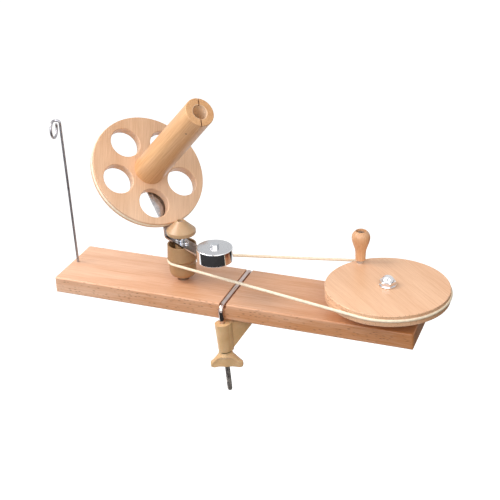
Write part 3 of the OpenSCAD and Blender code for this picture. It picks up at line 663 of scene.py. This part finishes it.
def wing_width(h):
    """Half the width of the wings at a height over their foot."""
    if h < wing_shoulder:
        short = max(0, wing_tip_r - h)
        return wing_half - wing_tip_r + math.sqrt(wing_tip_r**2 - short**2)
    if h < wing_body_h:
        part = (h - wing_shoulder) / (wing_body_h - wing_shoulder)
        hollow = wing_hollow * math.sin(math.pi * part)
        return wing_half + (neck_r - wing_half) * part - hollow
    return neck_r


def wing_thickness(across, h):
    """Half the thickness at a place across the wings and up them. The wings thin
    out from the hub, a ridge arches over them and a dish lies below the ridge."""
    u = math.hypot(across, hub_round) - hub_round
    crest = hub_half - thin_slope * u + thin_curve * u * u
    ridge_h = ridge_top - ridge_fall * u * u
    if h > ridge_h:
        return crest - neck_slope * (h - ridge_h)
    part = min(1, (ridge_h - h) / dish_fade)
    across_dish = 1 - (u / wing_half) ** 2
    return crest - dish_deep * across_dish * part * part * (3 - 2 * part)


def hexagon(angle, flat):
    """The reach of a hexagon, half its width across flats given, at an angle."""
    return flat / math.cos((angle % (math.pi / 3)) - math.pi / 6)


work = bmesh.new()
count = 96
angles = [2 * math.pi * (j + 0.5) / count for j in range(count)]
level_step = 0.5 * mm
levels = [0, 0.2 * mm] + [level_step * i for i in range(1, 41)] + [wing_h]


def ring_of(reach, z):
    """A ring round the leg with the reach given at each of its angles."""
    return [(r * math.cos(a), r * math.sin(a), z) for r, a in zip(reach, angles)]


hole = [rod_hole_r] * count
pocket = [hexagon(a, nut_pocket) for a in angles]
rings = [ring_of(hole, wing_h - nut_pocket_h), ring_of(hole, foot_arch)]
for h in levels:
    into = wing_edge - min(h, wing_h - h)
    inset = 0
    if into > 0:
        inset = wing_edge - math.sqrt(wing_edge**2 - into**2)
    wide = wing_width(h) - inset
    # The section is boxy low on the wings and an ellipse up the neck.
    power = 2 + 4 * min(1, max(0, (wing_body_h - h) / boxy_below))
    ring = []
    for a in angles:
        c = math.cos(a)
        thick = wing_thickness(wide * c, h) - inset
        bulge = (1 - abs(c) ** power) ** (1 / power)
        arch = foot_arch * max(0, 1 - (wide * c / (0.75 * wing_half)) ** 2)
        lift = arch * (1 - h / wing_h)
        ring.append((wide * c, math.copysign(thick * bulge, math.sin(a)), h + lift))
    rings.append(ring)
rings += [ring_of(pocket, wing_h), ring_of(pocket, wing_h - nut_pocket_h)]
wing_turn = Matrix.Rotation(math.radians(12), 3, "Z")
wing_place = Vector((0, -leg_y, -wing_foot))
skin = []
for ring in rings:
    spots = [rod_turn @ (wing_turn @ Vector(spot) + wing_place) for spot in ring]
    skin.append([work.verts.new(rod_at + spot) for spot in spots])
for low, high in zip(skin, skin[1:] + skin[:1]):
    for j in range(count):
        k = (j + 1) % count
        work.faces.new((low[j], low[k], high[k], high[j]))
wing = finished("wing_nut_moulded", work, smooth_under=38)
wing.data.materials.append(pale_nylon)
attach(wing, "wing")
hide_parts("wing_nut")
# Zinc gives the small parts a cool grey gleam, a little cloudy.
zinc = plated("zinc_plated_fittings", "#cfd2d6", 0.2, "#b3b7bd")
give(zinc, "steel", "wing_nut_insert")
# Yellow zinc gives the washer's edge a soft gold line.
yellow_zinc = plated("yellow_zinc_washer", "#c4ab80", 0.35, "#a99068")
give(yellow_zinc, "steel", "clamp_washer")

# ---------------------------------------------------------------- spindle
# A zinc plated stud up through the board, with a washer and nut on the board, a
# sleeve over the pulley and a thin nut under the friction cone, which is moulded.
give(zinc, "steel", "spindle_stud", "spindle_sleeve", "cone_lower_nut")
# Zinc painted a brownish grey, a painted reflection of the brown parts around it;
# rough, it shows no glints.
zinc_painted_brown = plated("zinc_nut_painted_reflection", "#b09a88", 0.5, "#94806f")
give(zinc_painted_brown, "steel", "stud_washer", "stud_nut")
# The cone's nylon is a shade deeper and greyer than the jaw's.
nylon = moulded("moulded_nylon_beige", "#c5a480", "#b8946c")
give(nylon, "moulded", "friction_cone")

# ---------------------------------------------------------------- drive wheel
# A turned beech wheel with a belt groove, on a steel post and bolt. A washer and
# a domed nut hold it down.
wheel_at = Vector((178.5, 0, 44)) * mm
wheel_face_r = 69 * mm
# The wheel is pale and even, its grain askew, with dashes only on its rim.
wheel_beech = beech(
    "beech_wheel_lacquered", "#f4c9a4", "#d9a57b", "#946443",
    grain=(1, -1.03, 0), face=(0, 0, 1), centre=tuple(wheel_at),
    edge=((1, 1, 0), wheel_face_r), contrast=0.55, drift=(-0.4, 0, 0),
)
give(wheel_beech, "wood", "drive_wheel")
# Chrome gives the domed nut and washer a clear mirror, hardly wavy.
chrome = plated("chrome_plated_caps", "#e6e6e8", 0.07, "#d5d5d8", wave=0.01)
give(zinc, "steel", "wheel_post", "wheel_bolt")
give(chrome, "bright_plate", "wheel_washer", "cap_nut")

# ---------------------------------------------------------------- crank knob
# Turned from a beech stick, its grain upright. It spins on a zinc screw that is
# sunk in its top, painted brownish grey as a painted reflection of the wood round
# it, and a small washer keeps it off the wheel.
knob_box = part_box("crank_knob")
knob_at = (knob_box[0] + knob_box[1]) / 2
# The knob shows faint upright streaks and is darker at its top.
knob_beech = beech(
    "beech_knob_lacquered", "#ecbf92", "#d0986c", "#8f5c39",
    grain=(0, 0.03, 1), face=(1, -1, 0), centre=tuple(knob_at),
    edge=((1, 1, 0), 40 * mm), contrast=0.6, drift=(0, 0, -3),
)
give(knob_beech, "wood", "crank_knob")
give(zinc_painted_brown, "steel", "knob_screw")
give(zinc, "steel", "knob_washer")

# ---------------------------------------------------------------- drive belt
# A cream rubber cord, welded into a loop and stretched round wheel and pulley.
# A tree sweeps the cord's round section along its path.
belt_r = 1.7 * mm
belt_z = 44.8 * mm
wheel_belt_r = 70.5 * mm
pulley_belt_r = 16.8 * mm
spindle_x = -70.5 * mm
apart = wheel_at.x - spindle_x
belt_slope = math.asin((wheel_belt_r - pulley_belt_r) / apart)
wheel_sweep = math.pi / 2 + belt_slope
pulley_sweep = math.pi / 2 - belt_slope


def belt_arc(middle_x, radius, start, sweep, steps):
    """Points at the belt's height along an arc about an upright axle."""
    turns = [start + sweep * i / steps for i in range(steps + 1)]
    return [
        (middle_x + radius * math.cos(a), radius * math.sin(a), belt_z) for a in turns
    ]


belt_path = belt_arc(
    wheel_at.x, wheel_belt_r, -wheel_sweep, 2 * wheel_sweep, steps=120
) + belt_arc(
    spindle_x, pulley_belt_r, math.pi - pulley_sweep, 2 * pulley_sweep, steps=40
)


def rubber(name, shade, deep):
    """Cream rubber: pale and even, dull, with the faint dust that it picks up."""
    made, tree, shader = finish_named(name)
    place = add(tree, "ShaderNodeTexCoord").outputs["Object"]
    # The dust lies in patches of 4 mm.
    dust = add(
        tree,
        "ShaderNodeTexNoise",
        {"Vector": place, "Scale": 260, "Detail": 4, "Roughness": 0.65},
    )
    tint = add(
        tree,
        "ShaderNodeValToRGB",
        {"Fac": dust.outputs["Fac"]},
        stops=[(0.35, deep), (0.6, shade)],
    )
    tree.links.new(tint.outputs["Color"], shader.inputs["Base Color"])
    skin = add(
        tree,
        "ShaderNodeBump",
        {"Height": dust.outputs["Fac"], "Strength": 0.3, "Distance": 0.05 * mm},
    )
    tree.links.new(skin.outputs[0], shader.inputs["Normal"])
    shader.inputs["Roughness"].default_value = 0.5
    shader.inputs["IOR"].default_value = 1.52
    return made


cream_rubber = rubber("cream_rubber_cord", "#fdeed3", "#f2dfc1")

cord_tree, asked = growing_tree(
    "cord_round_pulleys",
    Geometry="Geometry",
    Cord_radius="Float",
    Material="Material",
)
line = add(cord_tree, "GeometryNodeMeshToCurve", {0: asked["Geometry"]})
section = add(
    cord_tree,
    "GeometryNodeCurvePrimitiveCircle",
    {"Resolution": 24, "Radius": asked["Cord radius"]},
)
swept = add(
    cord_tree,
    "GeometryNodeCurveToMesh",
    {"Curve": line.outputs[0], "Profile Curve": section.outputs[0]},
)
smooth = add(cord_tree, "GeometryNodeSetShadeSmooth", {0: swept.outputs[0]})
end_tree(cord_tree, smooth.outputs[0], asked["Material"])

belt_seed = bpy.data.meshes.new("belt_path")
count = len(belt_path)
belt_seed.from_pydata(belt_path, [(i, (i + 1) % count) for i in range(count)], [])
belt = grown(
    "drive_belt_cord",
    cord_tree,
    {"Cord radius": belt_r, "Material": cream_rubber},
    base=belt_seed,
)
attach(belt, "frame")
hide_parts("drive_belt")

# ---------------------------------------------------------------- pulley and arm
# The pulley is a moulded cup on the stud. A bent strip of bright steel is
# screwed on its hub with two pan-head screws, and carries the head.
# The pulley's nylon gives a browner beige than the cone's.
brown_nylon = moulded("moulded_nylon_brown", "#b7926a", "#a78158")
give(brown_nylon, "moulded", "belt_pulley")
# Bright strip keeps a brushed, slightly warm grey.
strip_steel = plated("bright_strip_steel", "#c8c5c6", 0.2, "#a9a6a8")
arm = eased_copy("bracket_arm", "bracket_arm_bent", 0.25 * mm, segments=2)
arm.data.materials.append(strip_steel)
give(chrome, "bright_plate", "arm_screws")

# ---------------------------------------------------------------- counterweight
# A turned steel slug, chrome plated and polished round its side. Its top keeps
# the fine rings of the lathe, and a hex-head bolt holds it on the arm.
weight_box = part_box("counterweight")
weight_at = (weight_box[0] + weight_box[1]) / 2
turned, tree, shader = finish_named("chrome_over_turned_steel")
place = add(tree, "ShaderNodeTexCoord").outputs["Object"]
from_axis = add(
    tree,
    "ShaderNodeMapping",
    {"Vector": place, "Location": tuple(weight_at)},
    vector_type="TEXTURE",
)
flat = add(
    tree,
    "ShaderNodeVectorMath",
    {0: from_axis.outputs[0], 1: (1, 1, 0)},
    operation="MULTIPLY",
)
out_by = add(tree, "ShaderNodeVectorMath", {0: flat.outputs[0]}, operation="LENGTH")
# Tool marks of 0.5 mm, drawn coarser than the real 0.1 mm so that they show.
rings = add(
    tree,
    "ShaderNodeTexNoise",
    {"W": out_by.outputs["Value"], "Scale": 2200, "Detail": 3, "Roughness": 0.7},
    noise_dimensions="1D",
)
marks = add(
    tree,
    "ShaderNodeBump",
    {"Height": rings.outputs["Fac"], "Strength": 0.4, "Distance": 0.03 * mm},
)
tree.links.new(marks.outputs[0], shader.inputs["Normal"])
tint = add(
    tree,
    "ShaderNodeValToRGB",
    {"Fac": rings.outputs["Fac"]},
    stops=[(0.3, "#aeb0b4"), (0.7, "#d0d1d4")],
)
tree.links.new(tint.outputs["Color"], shader.inputs["Base Color"])
shader.inputs["Metallic"].default_value = 1
shader.inputs["Roughness"].default_value = 0.16
weight = merged_copy("counterweight", "counterweight_turned")
weight.data.materials.append(chrome)
weight.data.materials.append(turned)
for face in weight.data.polygons:
    if face.normal.z > 0.9:
        face.material_index = 1
give(zinc, "steel", "weight_bolt", "weight_nut")

# ---------------------------------------------------------------- winding disc
# Beech, turned to a disc with a groove in its rim for the friction ring, and
# bored with five round holes. A tree bores the holes round the axle.
axis = Vector((0.62491163, -0.37995223, 0.68199836))
disc_at = Vector((-122.19670, 31.43209, 141.00660)) * mm
down_slope = Vector((0.58273, -0.35430, -0.73135)).normalized()
head = Matrix.Translation(disc_at) @ Matrix(
    (down_slope, axis.cross(down_slope), axis)
).transposed().to_4x4()
disc_r = 70 * mm
disc_t = 10.5 * mm
disc_edge = 0.8 * mm
ring_mid = 68.2 * mm
ring_deep = 5.25 * mm
bush_hole = 6.05 * mm
groove_half = 2.2 * mm
groove_lip = 1.2 * mm
groove_root = 2.3 * mm


def lathe(name, profile, turns):
    """Turns a closed outline of (radius, height) pairs about Z."""
    work = bmesh.new()
    angles = [2 * math.pi * j / turns for j in range(turns)]
    rings = [
        [work.verts.new((r * math.cos(a), r * math.sin(a), z)) for a in angles]
        for r, z in profile
    ]
    for low, high in zip(rings, rings[1:] + rings[:1]):
        for j in range(turns):
            k = (j + 1) % turns
            work.faces.new((low[j], low[k], high[k], high[j]))
    bmesh.ops.recalc_face_normals(work, faces=work.faces)
    mesh = bpy.data.meshes.new(name)
    work.to_mesh(mesh)
    work.free()
    return mesh


def corner(r, z, radius, start, end, steps=5):
    """Points of a rounded edge about a centre, from one angle to another."""
    angles = [math.radians(start + (end - start) * i / steps) for i in range(steps + 1)]
    return [(r + radius * math.cos(a), z + radius * math.sin(a)) for a in angles]


groove = [
    (disc_r, -ring_deep - groove_half),
    (ring_mid - groove_lip, -ring_deep - groove_half),
    (ring_mid - groove_root, -ring_deep),
    (ring_mid - groove_lip, -ring_deep + groove_half),
    (disc_r, -ring_deep + groove_half),
]
blank = lathe(
    "disc_blank",
    [(bush_hole, -disc_t)]
    + corner(disc_r - disc_edge, -disc_t + disc_edge, disc_edge, -90, 0)
    + groove
    + corner(disc_r - disc_edge, -disc_edge, disc_edge, 0, 90)
    + [(bush_hole, 0)],
    turns=180,
)
bore_tree, asked = growing_tree(
    "holes_round_an_axle",
    Geometry="Geometry",
    Holes="Int",
    Hole_radius="Float",
    From_the_axle="Float",
    Turn="Float",
    Thickness="Float",
    Eased_edge="Float",
    Material="Material",
)
circle_of = add(
    bore_tree,
    "GeometryNodeCurvePrimitiveCircle",
    {"Resolution": asked["Holes"], "Radius": asked["From the axle"]},
)
# A long cylinder bores each hole, and a cone at either end eases its edge.
cutter = add(
    bore_tree,
    "GeometryNodeMeshCylinder",
    {"Vertices": 72, "Radius": asked["Hole radius"], "Depth": 40 * mm},
)
flare_r = add(
    bore_tree,
    "ShaderNodeMath",
    {0: asked["Hole radius"], 1: asked["Eased edge"]},
    operation="ADD",
)
flare = add(
    bore_tree,
    "GeometryNodeMeshCone",
    {
        "Vertices": 72,
        "Radius Top": flare_r.outputs[0],
        "Radius Bottom": asked["Hole radius"],
        "Depth": asked["Eased edge"],
    },
)
low_by = add(
    bore_tree,
    "ShaderNodeMath",
    {0: asked["Eased edge"], 1: -1.0},
    operation="MULTIPLY",
)
flare_place = add(bore_tree, "ShaderNodeCombineXYZ", {"Z": low_by.outputs[0]})
flare_top = add(
    bore_tree,
    "GeometryNodeTransform",
    {"Geometry": flare.outputs["Mesh"], "Translation": flare_place.outputs[0]},
)
less_t = add(
    bore_tree,
    "ShaderNodeMath",
    {0: asked["Thickness"], 1: -1.0},
    operation="MULTIPLY",
)
back_z = add(
    bore_tree,
    "ShaderNodeMath",
    {0: less_t.outputs[0], 1: asked["Eased edge"]},
    operation="ADD",
)
back_place = add(bore_tree, "ShaderNodeCombineXYZ", {"Z": back_z.outputs[0]})
flare_back = add(
    bore_tree,
    "GeometryNodeTransform",
    {
        "Geometry": flare.outputs["Mesh"],
        "Translation": back_place.outputs[0],
        "Rotation": (math.pi, 0, 0),
    },
)
turned_about = add(bore_tree, "ShaderNodeCombineXYZ", {"Z": asked["Turn"]})
cut = asked["Geometry"]
for shape in (cutter.outputs["Mesh"], flare_top.outputs[0], flare_back.outputs[0]):
    cutters = add(
        bore_tree,
        "GeometryNodeInstanceOnPoints",
        {"Points": circle_of.outputs[0], "Instance": shape},
    )
    swung = add(
        bore_tree,
        "GeometryNodeTransform",
        {"Geometry": cutters.outputs[0], "Rotation": turned_about.outputs[0]},
    )
    solid = add(
        bore_tree, "GeometryNodeRealizeInstances", {"Geometry": swung.outputs[0]}
    )
    bored = add(
        bore_tree,
        "GeometryNodeMeshBoolean",
        {"Mesh 1": cut, "Mesh 2": solid.outputs[0]},
        operation="DIFFERENCE",
        solver="EXACT",
    )
    cut = bored.outputs["Mesh"]
end_tree(bore_tree, cut, asked["Material"])

# The disc is pale and a little pink, and its grain runs up the slope.
disc_beech = beech(
    "beech_disc_lacquered", "#f2cba8", "#cc9e76", "#a07250",
    grain=(0.2266, -0.6532, -0.5715), face=tuple(axis), centre=tuple(disc_at),
    edge=((1, 1, 1), 90 * mm), contrast=0.5, drift=tuple(down_slope * 2.4),
)
disc = grown(
    "winding_disc_bored",
    bore_tree,
    {
        "Holes": 5,
        "Hole radius": 18.35 * mm,
        "From the axle": 42.8 * mm,
        "Turn": math.radians(53.3),
        "Thickness": disc_t,
        "Eased edge": 0.6 * mm,
        "Material": disc_beech,
    },
    base=blank,
)
disc.data.transform(head)
disc.data.shade_smooth()
disc.data.set_sharp_from_angle(angle=math.radians(30))
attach(disc, "winding")
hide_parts("winding_disc")
give(cream_rubber, "rubber", "friction_ring")

# ---------------------------------------------------------------- winding tube
# A tapered beech tube, turned with its grain along it and bored for the head of
# the axle, which fixes it to the disc. A saw cut across its tip holds the yarn's
# end; in and beside the cut the wood is painted brown, partly raw wood and
# partly painted shade in the cut.
tube_l = 148 * mm
bore_r = 9 * mm
cut_deep = 3 * mm
cut_half = 0.6 * mm
cut_soft = 0.25 * mm
cut_turn = Matrix.Rotation(math.radians(159), 4, "Z")
saw_wander = 0.55 * mm
knot_at = Vector((-44.85, -30.58, 216.85)) * mm
# The tube is the yellowest, with streaks that run along it.
tube_beech = beech(
    "beech_tube_lacquered", "#edbd89", "#c48a54", "#8a5b3a",
    grain=tuple(axis), face=(0, 0, 1), centre=tuple(disc_at),
    edge=((1, 1, 1), 200 * mm), contrast=0.55, drift=(0, 0, 0),
)
tree = tube_beech.node_tree
place = add(tree, "ShaderNodeTexCoord").outputs["Object"]
in_head = add(
    tree,
    "ShaderNodeMapping",
    {
        "Vector": place,
        "Location": tuple(disc_at),
        "Rotation": tuple((head @ cut_turn).to_euler()),
    },
    vector_type="TEXTURE",
)
apart_by = add(tree, "ShaderNodeSeparateXYZ", {0: in_head.outputs[0]})
# The saw wandered a little every 2.4 mm, so the painted brown of the cut is not quite
# straight.
wander = add(
    tree,
    "ShaderNodeTexNoise",
    {"Vector": in_head.outputs[0], "Scale": 420, "Detail": 2},
)
beside = add(
    tree,
    "ShaderNodeMath",
    {0: wander.outputs["Fac"], 1: 2 * saw_wander, 2: -saw_wander},
    operation="MULTIPLY_ADD",
)
beside = add(
    tree,
    "ShaderNodeMath",
    {0: apart_by.outputs["Y"], 1: beside.outputs[0]},
    operation="ADD",
)
beside = add(tree, "ShaderNodeMath", {0: beside.outputs[0]}, operation="ABSOLUTE")
in_cut = add(
    tree,
    "ShaderNodeMapRange",
    {
        "Value": beside.outputs[0],
        "From Min": cut_half,
        "From Max": cut_half + cut_soft,
        "To Min": 1.0,
        "To Max": 0.0,
    },
)
near_tip = add(
    tree,
    "ShaderNodeMath",
    {0: apart_by.outputs["Z"], 1: tube_l - cut_deep},
    operation="GREATER_THAN",
)
# Painted brown in and beside the saw cut: partly raw wood, partly painted shade.
cut_raw_and_shade = add(
    tree,
    "ShaderNodeMath",
    {0: in_cut.outputs[0], 1: near_tip.outputs[0]},
    operation="MULTIPLY",
)
# A pin knot of 3 mm shows near the tip.
from_knot = add(
    tree,
    "ShaderNodeVectorMath",
    {0: place, 1: tuple(knot_at)},
    operation="DISTANCE",
)
pin_knot = add(
    tree,
    "ShaderNodeMapRange",
    {
        "Value": from_knot.outputs["Value"],
        "From Min": 0.7 * mm,
        "From Max": 1.5 * mm,
        "To Min": 0.8,
        "To Max": 0.0,
    },
)
# The end grain of the tip drinks the lacquer and turns darker.
end_grain = add(
    tree,
    "ShaderNodeMapRange",
    {
        "Value": apart_by.outputs["Z"],
        "From Min": tube_l - 0.3 * mm,
        "From Max": tube_l - 0.1 * mm,
        "To Min": 0.0,
        "To Max": 0.03,
    },
)
marks = add(
    tree,
    "ShaderNodeMath",
    {0: cut_raw_and_shade.outputs[0], 1: end_grain.outputs[0]},
    operation="MAXIMUM",
)
# The bore's wall is painted pale peach: painted light inside the bore, which the lamps
# barely reach.
from_axle = add(
    tree,
    "ShaderNodeCombineXYZ",
    {"X": apart_by.outputs["X"], "Y": apart_by.outputs["Y"]},
)
from_axle = add(
    tree,
    "ShaderNodeVectorMath",
    {0: from_axle.outputs[0]},
    operation="LENGTH",
)
bore_painted_light = add(
    tree,
    "ShaderNodeMapRange",
    {
        "Value": from_axle.outputs["Value"],
        "From Min": bore_r,
        "From Max": bore_r + 0.2 * mm,
        "To Min": 0.9,
        "To Max": 0.0,
    },
)
# Painted light: the wood colour is mixed towards pale peach on the bore's wall.
bore_painted_pale = add(
    tree,
    "ShaderNodeMix",
    {
        "Factor": bore_painted_light.outputs[0],
        6: tree.nodes["wood_colour"].outputs[2],
        7: linear("#ffe2c0"),
    },
    data_type="RGBA",
)
# The cut's brown, part raw wood and part painted shade, and the darker end grain mix in
# here.
darker = add(
    tree,
    "ShaderNodeMix",
    {"Factor": marks.outputs[0], 6: bore_painted_pale.outputs[2], 7: linear("#b0825c")},
    data_type="RGBA",
)
knotted = add(
    tree,
    "ShaderNodeMix",
    {"Factor": pin_knot.outputs[0], 6: darker.outputs[2], 7: linear("#6b4328")},
    data_type="RGBA",
)
tree.links.new(knotted.outputs[2], tree.nodes["Principled BSDF"].inputs["Base Color"])
give(tube_beech, "wood", "winding_tube")
# Brass gives the bush a warm yellow in the depth of the disc.
brass = plated("turned_brass_bush", "#cfa85c", 0.25, "#b88f46")
give(brass, "bush", "winding_bush")
give(
    zinc, "steel",
    "axle_bolt", "axle_spacer", "axle_back_washer", "axle_lock_nut",
)

# ---------------------------------------------------------------- yarn guide
# One length of 3 mm wire, bent to a post, a short arm and an open eye. It swivels
# in a hole of the board. Drawn and left bare, it is a dull grey with soft
# highlights.
wire = plated("drawn_guide_wire", "#a9a7ac", 0.4, "#9c9a9f", wave=0.004)
give(wire, "steel", "yarn_guide")

# ---------------------------------------------------------------- studio
# A matt paper floor far below, white for the camera and in reflections, so that
# the winder seems to hang free. Soft lamps light it, and black cards shape what
# its bright pieces mirror.
paper_glow = 0.85
room_light = 0.3


def seen_directly(tree):
    """1 for rays from the camera, reflections and glass, 0 for the light itself."""
    path = add(tree, "ShaderNodeLightPath").outputs
    seen = path["Is Camera Ray"]
    for other in ("Is Glossy Ray", "Is Transmission Ray"):
        seen = add(
            tree, "ShaderNodeMath", {0: seen, 1: path[other]}, operation="MAXIMUM"
        ).outputs[0]
    return seen


def sheet(name, corners):
    """A flat sheet between its corners."""
    work = bmesh.new()
    for spot in corners:
        work.verts.new(spot)
    work.faces.new(work.verts)
    return finished(name, work)


floor_z = -0.62
half = 9
floor = sheet(
    "floor",
    [(x * half, y * half, floor_z) for x, y in ((-1, -1), (1, -1), (1, 1), (-1, 1))],
)
paper = bpy.data.materials.new("white_paper_floor")
paper.use_nodes = True
tree = paper.node_tree
tree.nodes.clear()
glow = add(
    tree,
    "ShaderNodeMath",
    {0: seen_directly(tree), 1: paper_glow},
    operation="MULTIPLY",
)
matt = add(tree, "ShaderNodeBsdfDiffuse", {"Color": linear("#d0d0d0")})
lift = add(
    tree,
    "ShaderNodeEmission",
    {"Color": (1, 1, 1, 1), "Strength": glow.outputs[0]},
)
both = add(tree, "ShaderNodeAddShader", {0: matt.outputs[0], 1: lift.outputs[0]})
add(tree, "ShaderNodeOutputMaterial", {"Surface": both.outputs[0]})
floor.data.materials.append(paper)

world = bpy.data.worlds.new("studio")
bpy.context.scene.world = world
world.use_nodes = True
tree = world.node_tree
tree.nodes.clear()
room = add(
    tree,
    "ShaderNodeBackground",
    {"Color": (0.97, 0.98, 1, 1), "Strength": room_light},
)
white = add(tree, "ShaderNodeBackground", {"Color": (1, 1, 1, 1), "Strength": 1})
pick = add(
    tree,
    "ShaderNodeMixShader",
    {0: seen_directly(tree), 1: room.outputs[0], 2: white.outputs[0]},
)
add(tree, "ShaderNodeOutputWorld", {"Surface": pick.outputs[0]})


def softbox(name, spot, aim, size, power, tint):
    """A square soft lamp that looks at a point."""
    lamp = bpy.data.lights.new(name, "AREA")
    lamp.size = size
    lamp.energy = power
    lamp.color = linear(tint)[:3]
    held = bpy.data.objects.new(name, lamp)
    bpy.context.scene.collection.objects.link(held)
    held.location = spot
    look = Vector(aim) - Vector(spot)
    held.rotation_euler = look.to_track_quat("-Z", "Y").to_euler()


middle = (0, 0, 0.08)
softbox("key_upper_left", (-1.1, -0.35, 1.2), middle, 0.8, 19.5, "#fff6ee")
softbox("overhead", (-0.2, -0.1, 1.7), middle, 1.3, 2.5, "#ffffff")
softbox("fill_front", (-0.45, -1.45, 1.05), middle, 1.0, 14, "#e6eeff")
softbox("fill_right", (0.75, -1.25, 0.9), middle, 0.8, 7, "#fff4e6")
softbox("top_right", (1.1, -0.5, 1.35), middle, 1.0, 5, "#ffffff")

# The cards are matt black paper, the darkest that the plated pieces mirror.
coal, tree, shader = finish_named("black_card")
shade = add(
    tree,
    "ShaderNodeTexNoise",
    {"Vector": add(tree, "ShaderNodeTexCoord").outputs["Object"], "Scale": 3},
)
dim = add(
    tree,
    "ShaderNodeValToRGB",
    {"Fac": shade.outputs["Fac"]},
    stops=[(0.0, "#050505"), (1.0, "#0c0b0b")],
)
tree.links.new(dim.outputs["Color"], shader.inputs["Base Color"])
shader.inputs["Roughness"].default_value = 0.9


def black_card(name, corners, only_mirrored):
    """A black card that the camera does not see. One that is only mirrored
    neither shades the pieces nor dims the light on them."""
    card = sheet(name, corners)
    card.data.materials.append(coal)
    card.visible_camera = False
    if only_mirrored:
        card.visible_diffuse = False
        card.visible_shadow = False


# A wide card in front and below gives the plated pieces their dark bands.
black_card(
    "black_card",
    (
        (-2.2, -0.22, -0.35),
        (1.2, -0.22, -0.35),
        (1.2, -3.2, -0.35),
        (-2.2, -3.2, -0.35),
    ),
    only_mirrored=True,
)
# A small card high in front puts a dark spot in the domed nut.
black_card(
    "black_spot_card",
    (
        (0.0, -0.65, 1.0),
        (0.32, -0.65, 1.0),
        (0.32, -0.85, 0.78),
        (0.0, -0.85, 0.78),
    ),
    only_mirrored=True,
)
# A flag low on the right keeps the bounce off the end of the board.
black_card(
    "black_flag",
    (
        (0.26, -0.6, -0.22),
        (1.3, -0.6, 0.05),
        (1.3, 1.1, 0.05),
        (0.26, 1.1, -0.22),
    ),
    only_mirrored=False,
)

bpy.context.scene.view_settings.view_transform = "Standard"
bpy.context.view_layer.update()
